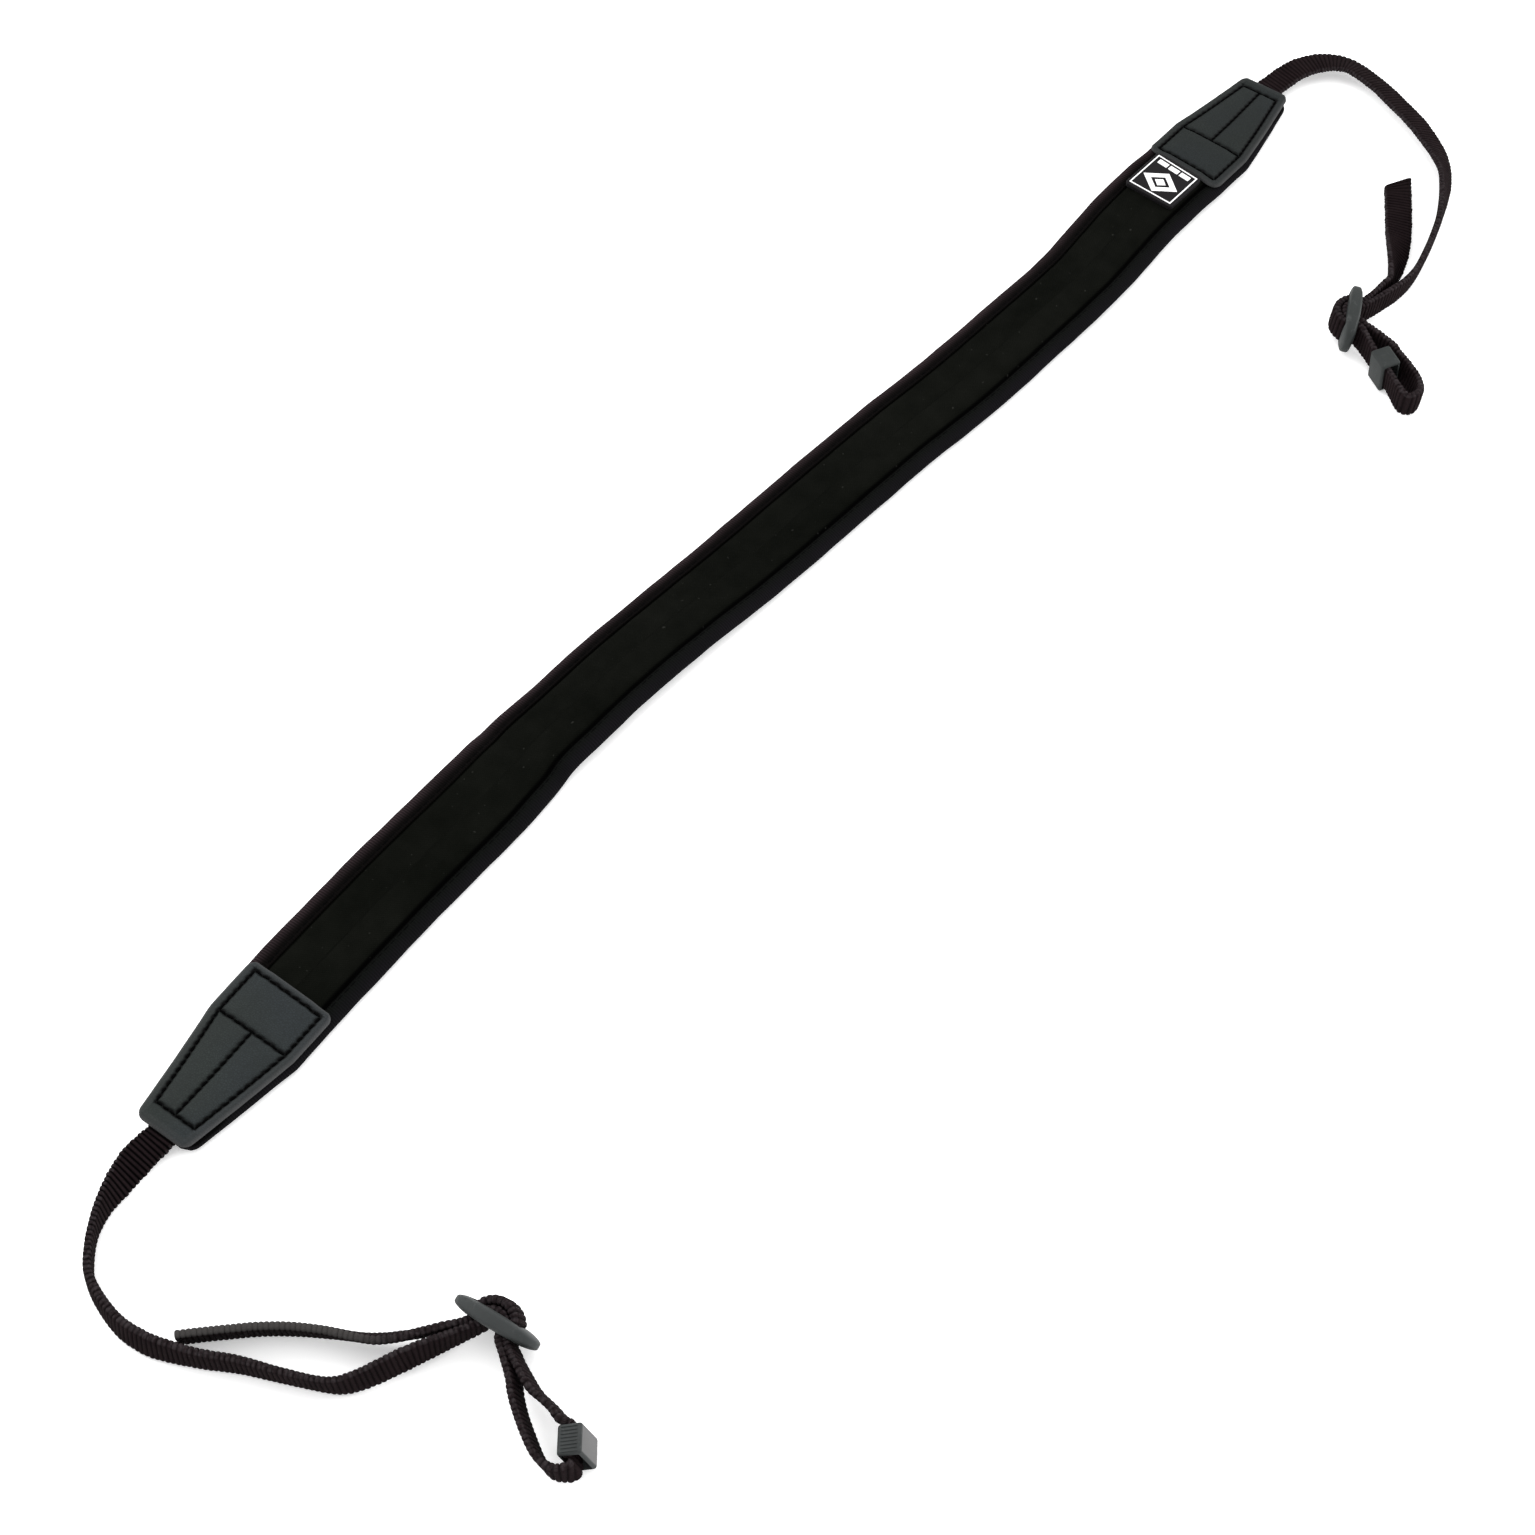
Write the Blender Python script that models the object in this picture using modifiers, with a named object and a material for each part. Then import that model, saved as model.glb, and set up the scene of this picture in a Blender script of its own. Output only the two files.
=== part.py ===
# Camera neck strap: padded neck band, sewn end patches and two webbing ends with slider and keeper.
# The band runs along +X and lies on the floor; Z is up; all lengths are in metres.
import math

import bpy
from mathutils import Euler, Vector

# Neck band
BAND_SPAN = 0.5853
BAND_WIDTH = 0.0341
FOAM_THICK = 0.0048
TIP_THICK = 0.0042
TIP_WIDTH = 0.0204
TIP_INSET = 0.0012
FLANGE_LOW = 0.0011
FLANGE_THICK = 0.0020
HEM_WIDTH = 0.0062
TAPE_THICK = 0.0008
FIT_GAP = 0.0003

# End patches and label
PATCH_LENGTH = 0.0593
PATCH_SQUARE = 0.0190
PATCH_WIDTH = 0.0320
PATCH_TIP_WIDTH = 0.0196
PATCH_THICK = 0.0018
PATCH_CORNER = 0.0030
LABEL_LENGTH = 0.0200
LABEL_WIDTH = 0.0208
LABEL_THICK = 0.0018
LABEL_CORNER = 0.0016
LABEL_ASIDE = 0.0007
LABEL_SPACE = 0.0006

# Webbing
WEB_WIDTH = 0.0100
WEB_THICK = 0.0023
WEB_SEWN = 0.0230
WEB_REACH = 0.1200
FAR_TIP_SLANT = 0.0046

# Slider
SLIDER_LENGTH = 0.0276
SLIDER_HEIGHT = 0.0164
SLIDER_MIDDLE = 0.0052
SLIDER_END = 0.0032
BAR_WIDTH = 0.0042
BAR_THICK = 0.0026
LAYER_GAP = 0.00035
WINDOW_SPARE = 0.0005
WRAP_RISE = 0.0029

# Keeper
KEEPER_LENGTH = 0.0090
KEEPER_WALL = 0.0010
KEEPER_PLAY = 0.0007
KEEPER_SIDE = 0.0004
KEEPER_CORNER = 0.0010

# Band course: share along the span, share of the width aside, lift in foam thicknesses, roll in degrees
BAND_ROWS = [
    (0.000, -0.205, 0.06, 2.0),
    (0.046, -0.144, 0.06, 5.0),
    (0.101, -0.053, 0.00, 8.0),
    (0.140, 0.001, 0.00, 8.5),
    (0.191, 0.060, 0.00, 8.5),
    (0.249, 0.104, 0.00, 8.0),
    (0.276, 0.150, 0.00, 4.5),
    (0.297, 0.182, 0.00, -2.5),
    (0.321, 0.173, 0.00, -5.5),
    (0.370, 0.177, 0.00, -6.0),
    (0.421, 0.144, 0.00, -5.0),
    (0.473, 0.110, 0.00, -1.5),
    (0.524, 0.088, 0.00, 0.0),
    (0.607, 0.040, 0.00, 0.0),
    (0.664, -0.025, 0.00, 1.0),
    (0.720, -0.043, 0.00, 0.0),
    (0.783, -0.053, 0.00, -2.0),
    (0.814, -0.010, 0.08, 0.0),
    (0.843, 0.029, 0.19, 1.0),
    (0.882, 0.043, 0.29, 1.5),
    (0.904, 0.029, 0.31, 1.0),
    (0.951, 0.043, 0.25, 0.5),
    (1.000, 0.095, 0.10, 0.0),
]

# Webbing course from the band tip: shares of the reach along, aside; height in webbing widths; lean in degrees
NEAR_RUN = [
    (-0.078, -0.006, 0.44, 62),
    (-0.152, -0.021, 0.49, 30),
    (-0.221, -0.041, 0.52, 6),
    (-0.280, -0.071, 0.52, -4),
    (-0.329, -0.110, 0.52, -5),
    (-0.370, -0.157, 0.52, -4),
    (-0.395, -0.223, 0.52, -2),
    (-0.408, -0.302, 0.52, -1),
    (-0.402, -0.365, 0.52, -1),
    (-0.387, -0.416, 0.52, 0),
    (-0.344, -0.506, 0.52, 4),
    (-0.294, -0.589, 0.52, 8),
    (-0.252, -0.677, 0.52, 10),
    (-0.208, -0.764, 0.53, 10),
    (-0.180, -0.804, 0.56, 9),
    (-0.142, -0.831, 0.60, 8),
    (-0.098, -0.853, 0.66, 8),
    (-0.052, -0.873, 0.72, 9),
    (-0.005, -0.895, 0.77, 12),
]
NEAR_LEG_OUT = [
    (0.088, -1.104, 0.80, 19),
    (0.062, -1.136, 0.78, 18),
    (0.040, -1.168, 0.77, 18),
    (0.020, -1.203, 0.76, 18),
    (0.001, -1.240, 0.76, 18),
    (-0.014, -1.274, 0.76, 16),
    (-0.020, -1.304, 0.76, 12),
    (-0.017, -1.332, 0.76, 6),
    (0.001, -1.352, 0.76, 0),
]
NEAR_LEG_BACK = [
    (0.086, -1.262, 0.76, -18),
    (0.092, -1.230, 0.77, -18),
    (0.094, -1.200, 0.78, -18),
    (0.095, -1.170, 0.79, -19),
    (0.104, -1.138, 0.80, -20),
]
NEAR_TAIL = [
    (0.024, -0.866, 0.76, -20),
    (-0.003, -0.827, 0.70, -29),
    (-0.034, -0.787, 0.63, -30),
    (-0.066, -0.741, 0.58, -23),
    (-0.104, -0.684, 0.55, -16),
    (-0.150, -0.620, 0.53, -13),
    (-0.200, -0.563, 0.53, -13),
    (-0.250, -0.514, 0.53, -13),
    (-0.300, -0.467, 0.53, -13),
    (-0.342, -0.429, 0.53, -13),
]
FAR_RUN = [
    (0.122, -0.016, 0.48, 90),
    (0.182, -0.038, 0.50, 88),
    (0.227, -0.069, 0.50, 85),
    (0.258, -0.111, 0.50, 79),
    (0.270, -0.166, 0.48, 72),
    (0.251, -0.272, 0.46, 69),
    (0.222, -0.353, 0.46, 70),
    (0.183, -0.453, 0.46, 69),
    (0.124, -0.555, 0.47, 62),
    (0.077, -0.613, 0.49, 49),
    (0.022, -0.661, 0.51, 31),
    (-0.041, -0.697, 0.52, 19),
    (-0.108, -0.729, 0.52, 7),
    (-0.175, -0.757, 0.52, -2),
    (-0.285, -0.792, 0.54, -6),
    (-0.402, -0.821, 0.61, -8),
    (-0.480, -0.828, 0.70, -7),
    (-0.550, -0.822, 0.78, -5),
]
FAR_LEG_OUT = [
    (-0.730, -0.935, 0.73, 4),
    (-0.747, -0.974, 0.69, 6),
    (-0.770, -1.022, 0.67, 6),
    (-0.795, -1.070, 0.66, 6),
    (-0.829, -1.106, 0.66, 3),
    (-0.864, -1.107, 0.67, 0),
    (-0.878, -1.081, 0.69, -4),
]
FAR_LEG_BACK = []
FAR_TAIL = [
    (-0.548, -0.794, 0.78, -2),
    (-0.505, -0.794, 0.73, -5),
    (-0.458, -0.776, 0.68, -18),
    (-0.397, -0.750, 0.60, -40),
    (-0.336, -0.719, 0.52, -60),
    (-0.280, -0.686, 0.44, -75),
    (-0.217, -0.647, 0.38, -82),
    (-0.139, -0.596, 0.32, -86),
    (-0.071, -0.551, 0.26, -88),
]

# Hardware places: shares of the reach from the band tip, height in webbing widths, heading and lean in degrees
NEAR_SLIDER = (0.163, -0.983, 0.842, -82.0, 20.0)
FAR_SLIDER = (-0.706, -0.786, 0.83, -152.9, -5.0)
NEAR_KEEPER = (0.060, -1.330, 0.76, -139.7, 18.0)
FAR_KEEPER = (-0.803, -0.970, 0.72, -119.0, 4.0)

# Colours: red, green, blue, roughness
FOAM_LOOK = (0.012, 0.012, 0.013, 0.92)
TAPE_LOOK = (0.018, 0.015, 0.017, 0.88)
PATCH_LOOK = (0.045, 0.055, 0.053, 0.62)
LABEL_LOOK = (0.010, 0.010, 0.011, 0.50)
WEB_LOOK = (0.030, 0.022, 0.024, 0.85)
PLASTIC_LOOK = (0.075, 0.085, 0.088, 0.55)


def clear_scene():
    for item in list(bpy.data.objects):
        bpy.data.objects.remove(item, do_unlink=True)


def make_material(name, look):
    material = bpy.data.materials.new(name)
    material.use_nodes = True
    shader = material.node_tree.nodes["Principled BSDF"]
    shader.inputs["Base Color"].default_value = (look[0], look[1], look[2], 1.0)
    shader.inputs["Roughness"].default_value = look[3]
    shader.inputs["Metallic"].default_value = 0.0
    return material


def row_value(rows, share, column):
    # Smooth curve through one column of a table
    last = len(rows) - 1
    index = 0
    while index < last - 1 and share > rows[index + 1][0]:
        index += 1
    low = rows[index]
    high = rows[index + 1]
    step = high[0] - low[0]
    before = rows[max(index - 1, 0)]
    after = rows[min(index + 2, last)]
    slope_low = (high[column] - before[column]) / (high[0] - before[0])
    slope_high = (after[column] - low[column]) / (after[0] - low[0])
    t = (share - low[0]) / step
    curve = (2 * t**3 - 3 * t**2 + 1) * low[column] + (3 * t**2 - 2 * t**3) * high[column]
    curve += (t**3 - 2 * t**2 + t) * step * slope_low + (t**3 - t**2) * step * slope_high
    return curve


def band_middle(along):
    # Point under the middle of the band at a distance from the near tip
    share = along / BAND_SPAN
    aside = row_value(BAND_ROWS, share, 1) * BAND_WIDTH
    lift = row_value(BAND_ROWS, share, 2) * FOAM_THICK
    roll = math.radians(row_value(BAND_ROWS, share, 3))
    lift += 0.5 * band_width(along) * abs(math.sin(roll))
    return Vector((along, aside, lift)), roll


def band_width(along):
    # Full width that narrows under the tapered part of each patch
    inward = min(along, BAND_SPAN - along)
    taper = PATCH_LENGTH - PATCH_SQUARE
    share = min(max(inward / taper, 0.0), 1.0)
    return TIP_WIDTH + (BAND_WIDTH - TIP_WIDTH) * share


def band_frame(along):
    # Middle, sideways and upward directions of the band
    step = 0.002
    here, roll = band_middle(along)
    ahead = band_middle(along + step)[0] - band_middle(along - step)[0]
    ahead.normalize()
    side = Vector((0.0, 0.0, 1.0)).cross(ahead)
    side.normalize()
    up = ahead.cross(side)
    turned_side = side * math.cos(roll) + up * math.sin(roll)
    turned_up = up * math.cos(roll) - side * math.sin(roll)
    return here, turned_side, turned_up


def foam_top(along):
    inward = min(along, BAND_SPAN - along)
    share = min(max(inward / PATCH_LENGTH, 0.0), 1.0)
    return TIP_THICK + (FOAM_THICK - TIP_THICK) * share


def hem_width(along):
    return HEM_WIDTH * band_width(along) / BAND_WIDTH


def in_trough(along):
    inward = min(along, BAND_SPAN - along)
    return inward < WEB_SEWN + 1.2 * TIP_INSET


def place_ring(along, flat_points):
    here, side, up = band_frame(along)
    return [here + side * y + up * z for y, z in flat_points]


def mirror_ring(half):
    # Whole closed ring from the +side half, listed from top middle to bottom middle
    other = [(-y, z) for y, z in reversed(half)]
    return half + other


def add_loft(name, rings, material, smooth_angle):
    # Closed skin over rings that all have the same number of points
    count = len(rings[0])
    points = [point for ring in rings for point in ring]
    faces = []
    for row in range(len(rings) - 1):
        for k in range(count):
            a = row * count + k
            b = row * count + (k + 1) % count
            faces.append((a, b, b + count, a + count))
    faces.append(tuple(reversed(range(count))))
    faces.append(tuple(range((len(rings) - 1) * count, len(rings) * count)))
    mesh = bpy.data.meshes.new(name)
    mesh.from_pydata([tuple(point) for point in points], [], faces)
    item = bpy.data.objects.new(name, mesh)
    PARTS.objects.link(item)
    item.data.materials.append(material)
    fix_normals(item)
    smooth_item(item, smooth_angle)
    return item


def choose(item):
    bpy.ops.object.select_all(action="DESELECT")
    item.select_set(True)
    bpy.context.view_layer.objects.active = item


def fix_normals(item):
    choose(item)
    bpy.ops.object.mode_set(mode="EDIT")
    bpy.ops.mesh.select_all(action="SELECT")
    bpy.ops.mesh.normals_make_consistent(inside=False)
    bpy.ops.object.mode_set(mode="OBJECT")


def smooth_item(item, degrees):
    choose(item)
    bpy.ops.object.shade_smooth_by_angle(angle=math.radians(degrees))


def band_stations():
    # Distances along the band, closer together at the ends and where it warps
    first = TIP_INSET
    last = BAND_SPAN - TIP_INSET
    trough = WEB_SEWN + TIP_INSET
    shares = [0.055, 0.080, 0.101, 0.125, 0.155, 0.190, 0.225, 0.249, 0.263, 0.276, 0.287, 0.297]
    shares += [0.309, 0.321, 0.345, 0.370, 0.400, 0.430, 0.473, 0.524, 0.570, 0.615, 0.664, 0.710]
    shares += [0.750, 0.783, 0.800, 0.814, 0.829, 0.843, 0.860, 0.871, 0.882, 0.893, 0.904, 0.920]
    shares += [0.935]
    inner = [share * BAND_SPAN for share in shares]
    near = [first, 0.5 * trough, trough, trough + 0.0006]
    far = [BAND_SPAN - x for x in reversed(near)]
    return near + inner + far


def foam_half(along):
    half = 0.5 * band_width(along)
    top = foam_top(along)
    panel = half - hem_width(along) - 2 * FIT_GAP
    lip = half - TAPE_THICK - FIT_GAP
    slot = 0.5 * WEB_WIDTH + FIT_GAP
    floor = top - WEB_THICK - FIT_GAP if in_trough(along) else top
    low = FLANGE_LOW
    high = FLANGE_LOW + FLANGE_THICK
    return [
        (slot - 0.0001, floor),
        (slot + 0.0001, top),
        (panel - 0.0004, top),
        (panel, top - 0.0005),
        (panel, high),
        (lip - FIT_GAP, high),
        (lip, high - FIT_GAP),
        (lip, low + FIT_GAP),
        (lip - FIT_GAP, low),
        (panel, low),
        (panel, 0.0),
    ]


def hem_ring(along):
    # U-shaped tape around the flange, on the +side
    half = 0.5 * band_width(along)
    inner = half - hem_width(along)
    wall = half - TAPE_THICK
    low_leaf = FLANGE_LOW - FIT_GAP
    high_leaf = FLANGE_LOW + FLANGE_THICK + FIT_GAP
    top = high_leaf + TAPE_THICK
    return [
        (inner, high_leaf),
        (inner, top),
        (half - 2.2 * TAPE_THICK, top - 0.2 * TAPE_THICK),
        (half - 0.6 * TAPE_THICK, top - 1.1 * TAPE_THICK),
        (half, 0.5 * top),
        (half - 0.6 * TAPE_THICK, 0.9 * TAPE_THICK),
        (half - 2.2 * TAPE_THICK, 0.0),
        (inner, 0.0),
        (inner, low_leaf),
        (wall - FIT_GAP, low_leaf),
        (wall, low_leaf + FIT_GAP),
        (wall, high_leaf - FIT_GAP),
        (wall - FIT_GAP, high_leaf),
    ]


def make_band():
    stations = band_stations()
    foam = make_material("foam_cloth", FOAM_LOOK)
    tape = make_material("edge_tape", TAPE_LOOK)
    rings = [place_ring(x, mirror_ring(foam_half(x))) for x in stations]
    add_loft("neck_pad", rings, foam, 40)
    left = [place_ring(x, hem_ring(x)) for x in stations]
    add_loft("left_binding", left, tape, 50)
    right = [place_ring(x, [(-y, z) for y, z in hem_ring(x)]) for x in stations]
    add_loft("right_binding", right, tape, 50)


def rounded_half(half, distance, length, corner):
    # Half width of a plate whose outline has rounded corners
    reach = min(distance, length - distance)
    if reach >= corner:
        return half
    drop = corner - math.sqrt(max(corner**2 - (corner - reach) ** 2, 0.0))
    return half - drop


def plate_steps(length, corner, middle):
    start = [0.0, 0.07 * corner, 0.3 * corner, corner]
    return start + middle + [length - x for x in reversed(start)]


def patch_half_width(distance):
    # Distance is measured from the wide end towards the tip
    taper = PATCH_LENGTH - PATCH_SQUARE
    share = min(max((distance - PATCH_SQUARE) / taper, 0.0), 1.0)
    full = 0.5 * (PATCH_WIDTH + (PATCH_TIP_WIDTH - PATCH_WIDTH) * share)
    return rounded_half(full, distance, PATCH_LENGTH, PATCH_CORNER)


def patch_ring(along, distance):
    half = patch_half_width(distance)
    top = foam_top(along)
    panel = 0.5 * band_width(along) - hem_width(along) - FIT_GAP
    panel = min(panel, half - 0.0014)
    tape_top = FLANGE_LOW + FLANGE_THICK + FIT_GAP + TAPE_THICK
    under = top + FIT_GAP
    under_edge = tape_top + FIT_GAP
    ring = [
        (panel, under + PATCH_THICK),
        (half - 0.0007, under_edge + PATCH_THICK),
        (half, under_edge + 0.7 * PATCH_THICK),
        (half, under_edge),
        (panel + 0.0009, under_edge),
        (panel, under),
    ]
    return mirror_ring(ring)


def make_patch(name, tip, inward):
    # Patch that starts wide on the band and narrows to the tip
    leather = make_material(name + "_skin", PATCH_LOOK)
    middle = [0.15 * PATCH_LENGTH, PATCH_SQUARE, 0.45 * PATCH_LENGTH, 0.6 * PATCH_LENGTH]
    middle += [0.75 * PATCH_LENGTH, 0.88 * PATCH_LENGTH]
    rings = []
    for distance in plate_steps(PATCH_LENGTH, PATCH_CORNER, middle):
        along = tip + inward * (PATCH_LENGTH - distance)
        rings.append(place_ring(along, patch_ring(along, distance)))
    add_loft(name, rings, leather, 35)


def make_label():
    rubber = make_material("label_rubber", LABEL_LOOK)
    start = BAND_SPAN - PATCH_LENGTH - LABEL_SPACE - LABEL_LENGTH
    middle = [0.35 * LABEL_LENGTH, 0.65 * LABEL_LENGTH]
    rings = []
    for distance in plate_steps(LABEL_LENGTH, LABEL_CORNER, middle):
        along = start + distance
        half = rounded_half(0.5 * LABEL_WIDTH, distance, LABEL_LENGTH, LABEL_CORNER)
        low = FOAM_THICK + FIT_GAP
        flat = [
            (half - 0.0004, low + LABEL_THICK),
            (half, low + LABEL_THICK - 0.0004),
            (half, low),
        ]
        ring = [(y + LABEL_ASIDE, z) for y, z in mirror_ring(flat)]
        rings.append(place_ring(along, ring))
    add_loft("label_patch", rings, rubber, 35)


def tip_point(tip):
    # Where the band middle meets the floor plan at one tip
    return band_middle(tip)[0]


def run_point(tip, row):
    origin = tip_point(tip)
    x = origin.x + row[0] * WEB_REACH
    y = origin.y + row[1] * WEB_REACH
    return Vector((x, y, row[2] * WEB_WIDTH))


def hardware_frame(tip, place):
    # Middle and turned axes of a slider or keeper
    turn = Euler((math.radians(place[4]), 0.0, math.radians(place[3])), "XYZ").to_matrix()
    return run_point(tip, place), turn


def wrap_points(layer):
    # Path of one webbing layer over the slider bar, from slot to slot, wrap side positive
    reach = 0.5 * BAR_WIDTH + LAYER_GAP + 0.5 * WEB_THICK + layer * (WEB_THICK + LAYER_GAP)
    rise = WRAP_RISE + layer * (WEB_THICK + 1.6 * LAYER_GAP)
    points = []
    for degrees in (180, 157, 135, 112, 90, 68, 45, 23, 0):
        angle = math.radians(degrees)
        points.append((reach * math.cos(angle), rise * math.sin(angle)))
    return reach, points


def slider_rows(tip, place, wrap_side, layer, backward):
    # Webbing control points through the slider with the width along the bar
    centre, turn = hardware_frame(tip, place)
    along = turn @ Vector((1.0, 0.0, 0.0))
    out = (turn @ Vector((0.0, 1.0, 0.0))) * wrap_side
    bar = turn @ Vector((0.0, 0.0, 1.0))
    reach, points = wrap_points(layer)
    dip = 1.55 * WEB_THICK
    flare = 0.25 * WEB_THICK
    entry = [(-reach - flare, -dip)]
    leave = [(reach + flare, -dip)]
    points = entry + points + leave
    if backward:
        points = list(reversed(points))
    return [(centre + along * x + out * y, bar) for x, y in points]


def keeper_rows(tip, place, side_sign, backward):
    centre, turn = hardware_frame(tip, place)
    along = turn @ Vector((1.0, 0.0, 0.0))
    across = turn @ Vector((0.0, 1.0, 0.0))
    wide = turn @ Vector((0.0, 0.0, 1.0))
    offset = side_sign * (0.5 * keeper_hole_depth() - 0.5 * WEB_THICK - KEEPER_SIDE)
    places = [-0.62, -0.2, 0.2, 0.62]
    if backward:
        places.reverse()
    return [(centre + along * x * KEEPER_LENGTH + across * offset, wide) for x in places]


def keeper_hole_depth():
    return 2 * WEB_THICK + KEEPER_PLAY


def lean_rows(tip, rows):
    # Control points whose width stands up and leans to the right of travel
    points = [run_point(tip, row) for row in rows]
    result = []
    for index, row in enumerate(rows):
        before = points[max(index - 1, 0)]
        after = points[min(index + 1, len(rows) - 1)]
        ahead = (after - before).normalized()
        right = ahead.cross(Vector((0.0, 0.0, 1.0))).normalized()
        up = right.cross(ahead)
        lean = math.radians(row[3])
        result.append((points[index], up * math.cos(lean) + right * math.sin(lean)))
    return result


def sewn_rows(tip, inward):
    # Webbing end that lies in the trough under the patch
    result = []
    for distance in (WEB_SEWN, 0.55 * WEB_SEWN, 0.12 * WEB_SEWN, -0.06 * WEB_SEWN):
        along = tip + inward * distance
        here, side, up = band_frame(along)
        height = foam_top(along) - 0.5 * WEB_THICK
        width = side * inward
        result.append((here + up * height, width))
    return result


def catmull(a, b, c, d, t):
    line = 0.5 * (2 * b + (c - a) * t + (2 * a - 5 * b + 4 * c - d) * t**2)
    return line + 0.5 * (3 * b - a - 3 * c + d) * t**3


def ribbon_rings(controls, steps):
    places = []
    widths = []
    last = len(controls) - 1
    for index in range(last):
        quad = [controls[min(max(index + k, 0), last)] for k in (-1, 0, 1, 2)]
        for step in range(steps):
            t = step / steps
            places.append(catmull(quad[0][0], quad[1][0], quad[2][0], quad[3][0], t))
            widths.append(quad[1][1].lerp(quad[2][1], t))
    places.append(controls[last][0])
    widths.append(controls[last][1])
    rings = []
    for index, place in enumerate(places):
        before = places[max(index - 1, 0)]
        after = places[min(index + 1, len(places) - 1)]
        ahead = (after - before).normalized()
        width = widths[index] - ahead * widths[index].dot(ahead)
        width.normalize()
        thick = ahead.cross(width)
        across = width * 0.5 * WEB_WIDTH
        through = thick * 0.5 * WEB_THICK
        rings.append([
            place + across + through,
            place - across + through,
            place - across - through,
            place + across - through,
        ])
    return rings


def make_webbing(name, controls, slant):
    cloth = make_material(name + "_weave", WEB_LOOK)
    rings = ribbon_rings(controls, 3)
    ahead = (controls[-1][0] - controls[-2][0]).normalized()
    shift = [-0.5 * slant, 0.5 * slant, 0.5 * slant, -0.5 * slant]
    rings[-1] = [point + ahead * step for point, step in zip(rings[-1], shift)]
    add_loft(name, rings, cloth, 40)


def near_controls():
    tip = 0.0
    rows = sewn_rows(tip, 1.0)
    rows += lean_rows(tip, NEAR_RUN)
    rows += slider_rows(tip, NEAR_SLIDER, 1.0, 0, False)
    rows += lean_rows(tip, NEAR_LEG_OUT)
    rows += keeper_rows(tip, NEAR_KEEPER, -1.0, True)
    rows += lean_rows(tip, NEAR_LEG_BACK)
    rows += slider_rows(tip, NEAR_SLIDER, 1.0, 1, True)
    rows += lean_rows(tip, NEAR_TAIL)
    return rows


def far_controls():
    tip = BAND_SPAN
    rows = sewn_rows(tip, -1.0)
    rows += lean_rows(tip, FAR_RUN)
    rows += slider_rows(tip, FAR_SLIDER, -1.0, 0, False)
    rows += lean_rows(tip, FAR_LEG_OUT)
    rows += keeper_rows(tip, FAR_KEEPER, -1.0, True)
    rows += lean_rows(tip, FAR_LEG_BACK)
    rows += slider_rows(tip, FAR_SLIDER, -1.0, 1, True)
    rows += lean_rows(tip, FAR_TAIL)
    return rows


def extruded_outline(name, outline, depth, axis):
    # Prism from a flat outline, centred on its own depth
    rings = []
    for end in (-0.5 * depth, 0.5 * depth):
        if axis == "Z":
            rings.append([Vector((x, y, end)) for x, y in outline])
        else:
            rings.append([Vector((x, end, y)) for x, y in outline])
    count = len(outline)
    points = rings[0] + rings[1]
    faces = [tuple(reversed(range(count))), tuple(range(count, 2 * count))]
    for k in range(count):
        faces.append((k, (k + 1) % count, (k + 1) % count + count, k + count))
    mesh = bpy.data.meshes.new(name)
    mesh.from_pydata([tuple(point) for point in points], [], faces)
    item = bpy.data.objects.new(name, mesh)
    PARTS.objects.link(item)
    fix_normals(item)
    return item


def combine(item, tool, operation):
    modifier = item.modifiers.new("cut", "BOOLEAN")
    modifier.object = tool
    modifier.operation = operation
    modifier.solver = "EXACT"
    choose(item)
    bpy.ops.object.modifier_apply(modifier=modifier.name)
    bpy.data.objects.remove(tool, do_unlink=True)


def lens_outline():
    # Side profile of the slider, thick in the middle and round at both ends
    half = 0.5 * SLIDER_LENGTH
    side = []
    for share in (-0.90, -0.70, -0.45, -0.15, 0.15, 0.45, 0.70, 0.90):
        thick = SLIDER_END + (SLIDER_MIDDLE - SLIDER_END) * (1 - share**2)
        side.append((share * half, 0.5 * thick))
    low = [(x, -y) for x, y in side]
    right_end = [(0.97 * half, 0.38 * SLIDER_END), (half, 0.12 * SLIDER_END)]
    right_end += [(half, -0.12 * SLIDER_END), (0.97 * half, -0.38 * SLIDER_END)]
    left_end = [(-x, -y) for x, y in right_end]
    return low + [(x, y) for x, y in reversed(right_end)] + list(reversed(side)) + [
        (x, y) for x, y in reversed(left_end)
    ]


def oval_outline(half_long, half_short, power, count):
    points = []
    for k in range(count):
        angle = 2 * math.pi * (k + 0.5) / count
        c = math.cos(angle)
        s = math.sin(angle)
        x = half_long * math.copysign(abs(c) ** (2 / power), c)
        y = half_short * math.copysign(abs(s) ** (2 / power), s)
        points.append((x, y))
    return points


def window_half():
    outer = 0.5 * BAR_WIDTH + 2 * LAYER_GAP + 2 * WEB_THICK
    return outer + WINDOW_SPARE + LAYER_GAP


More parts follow.
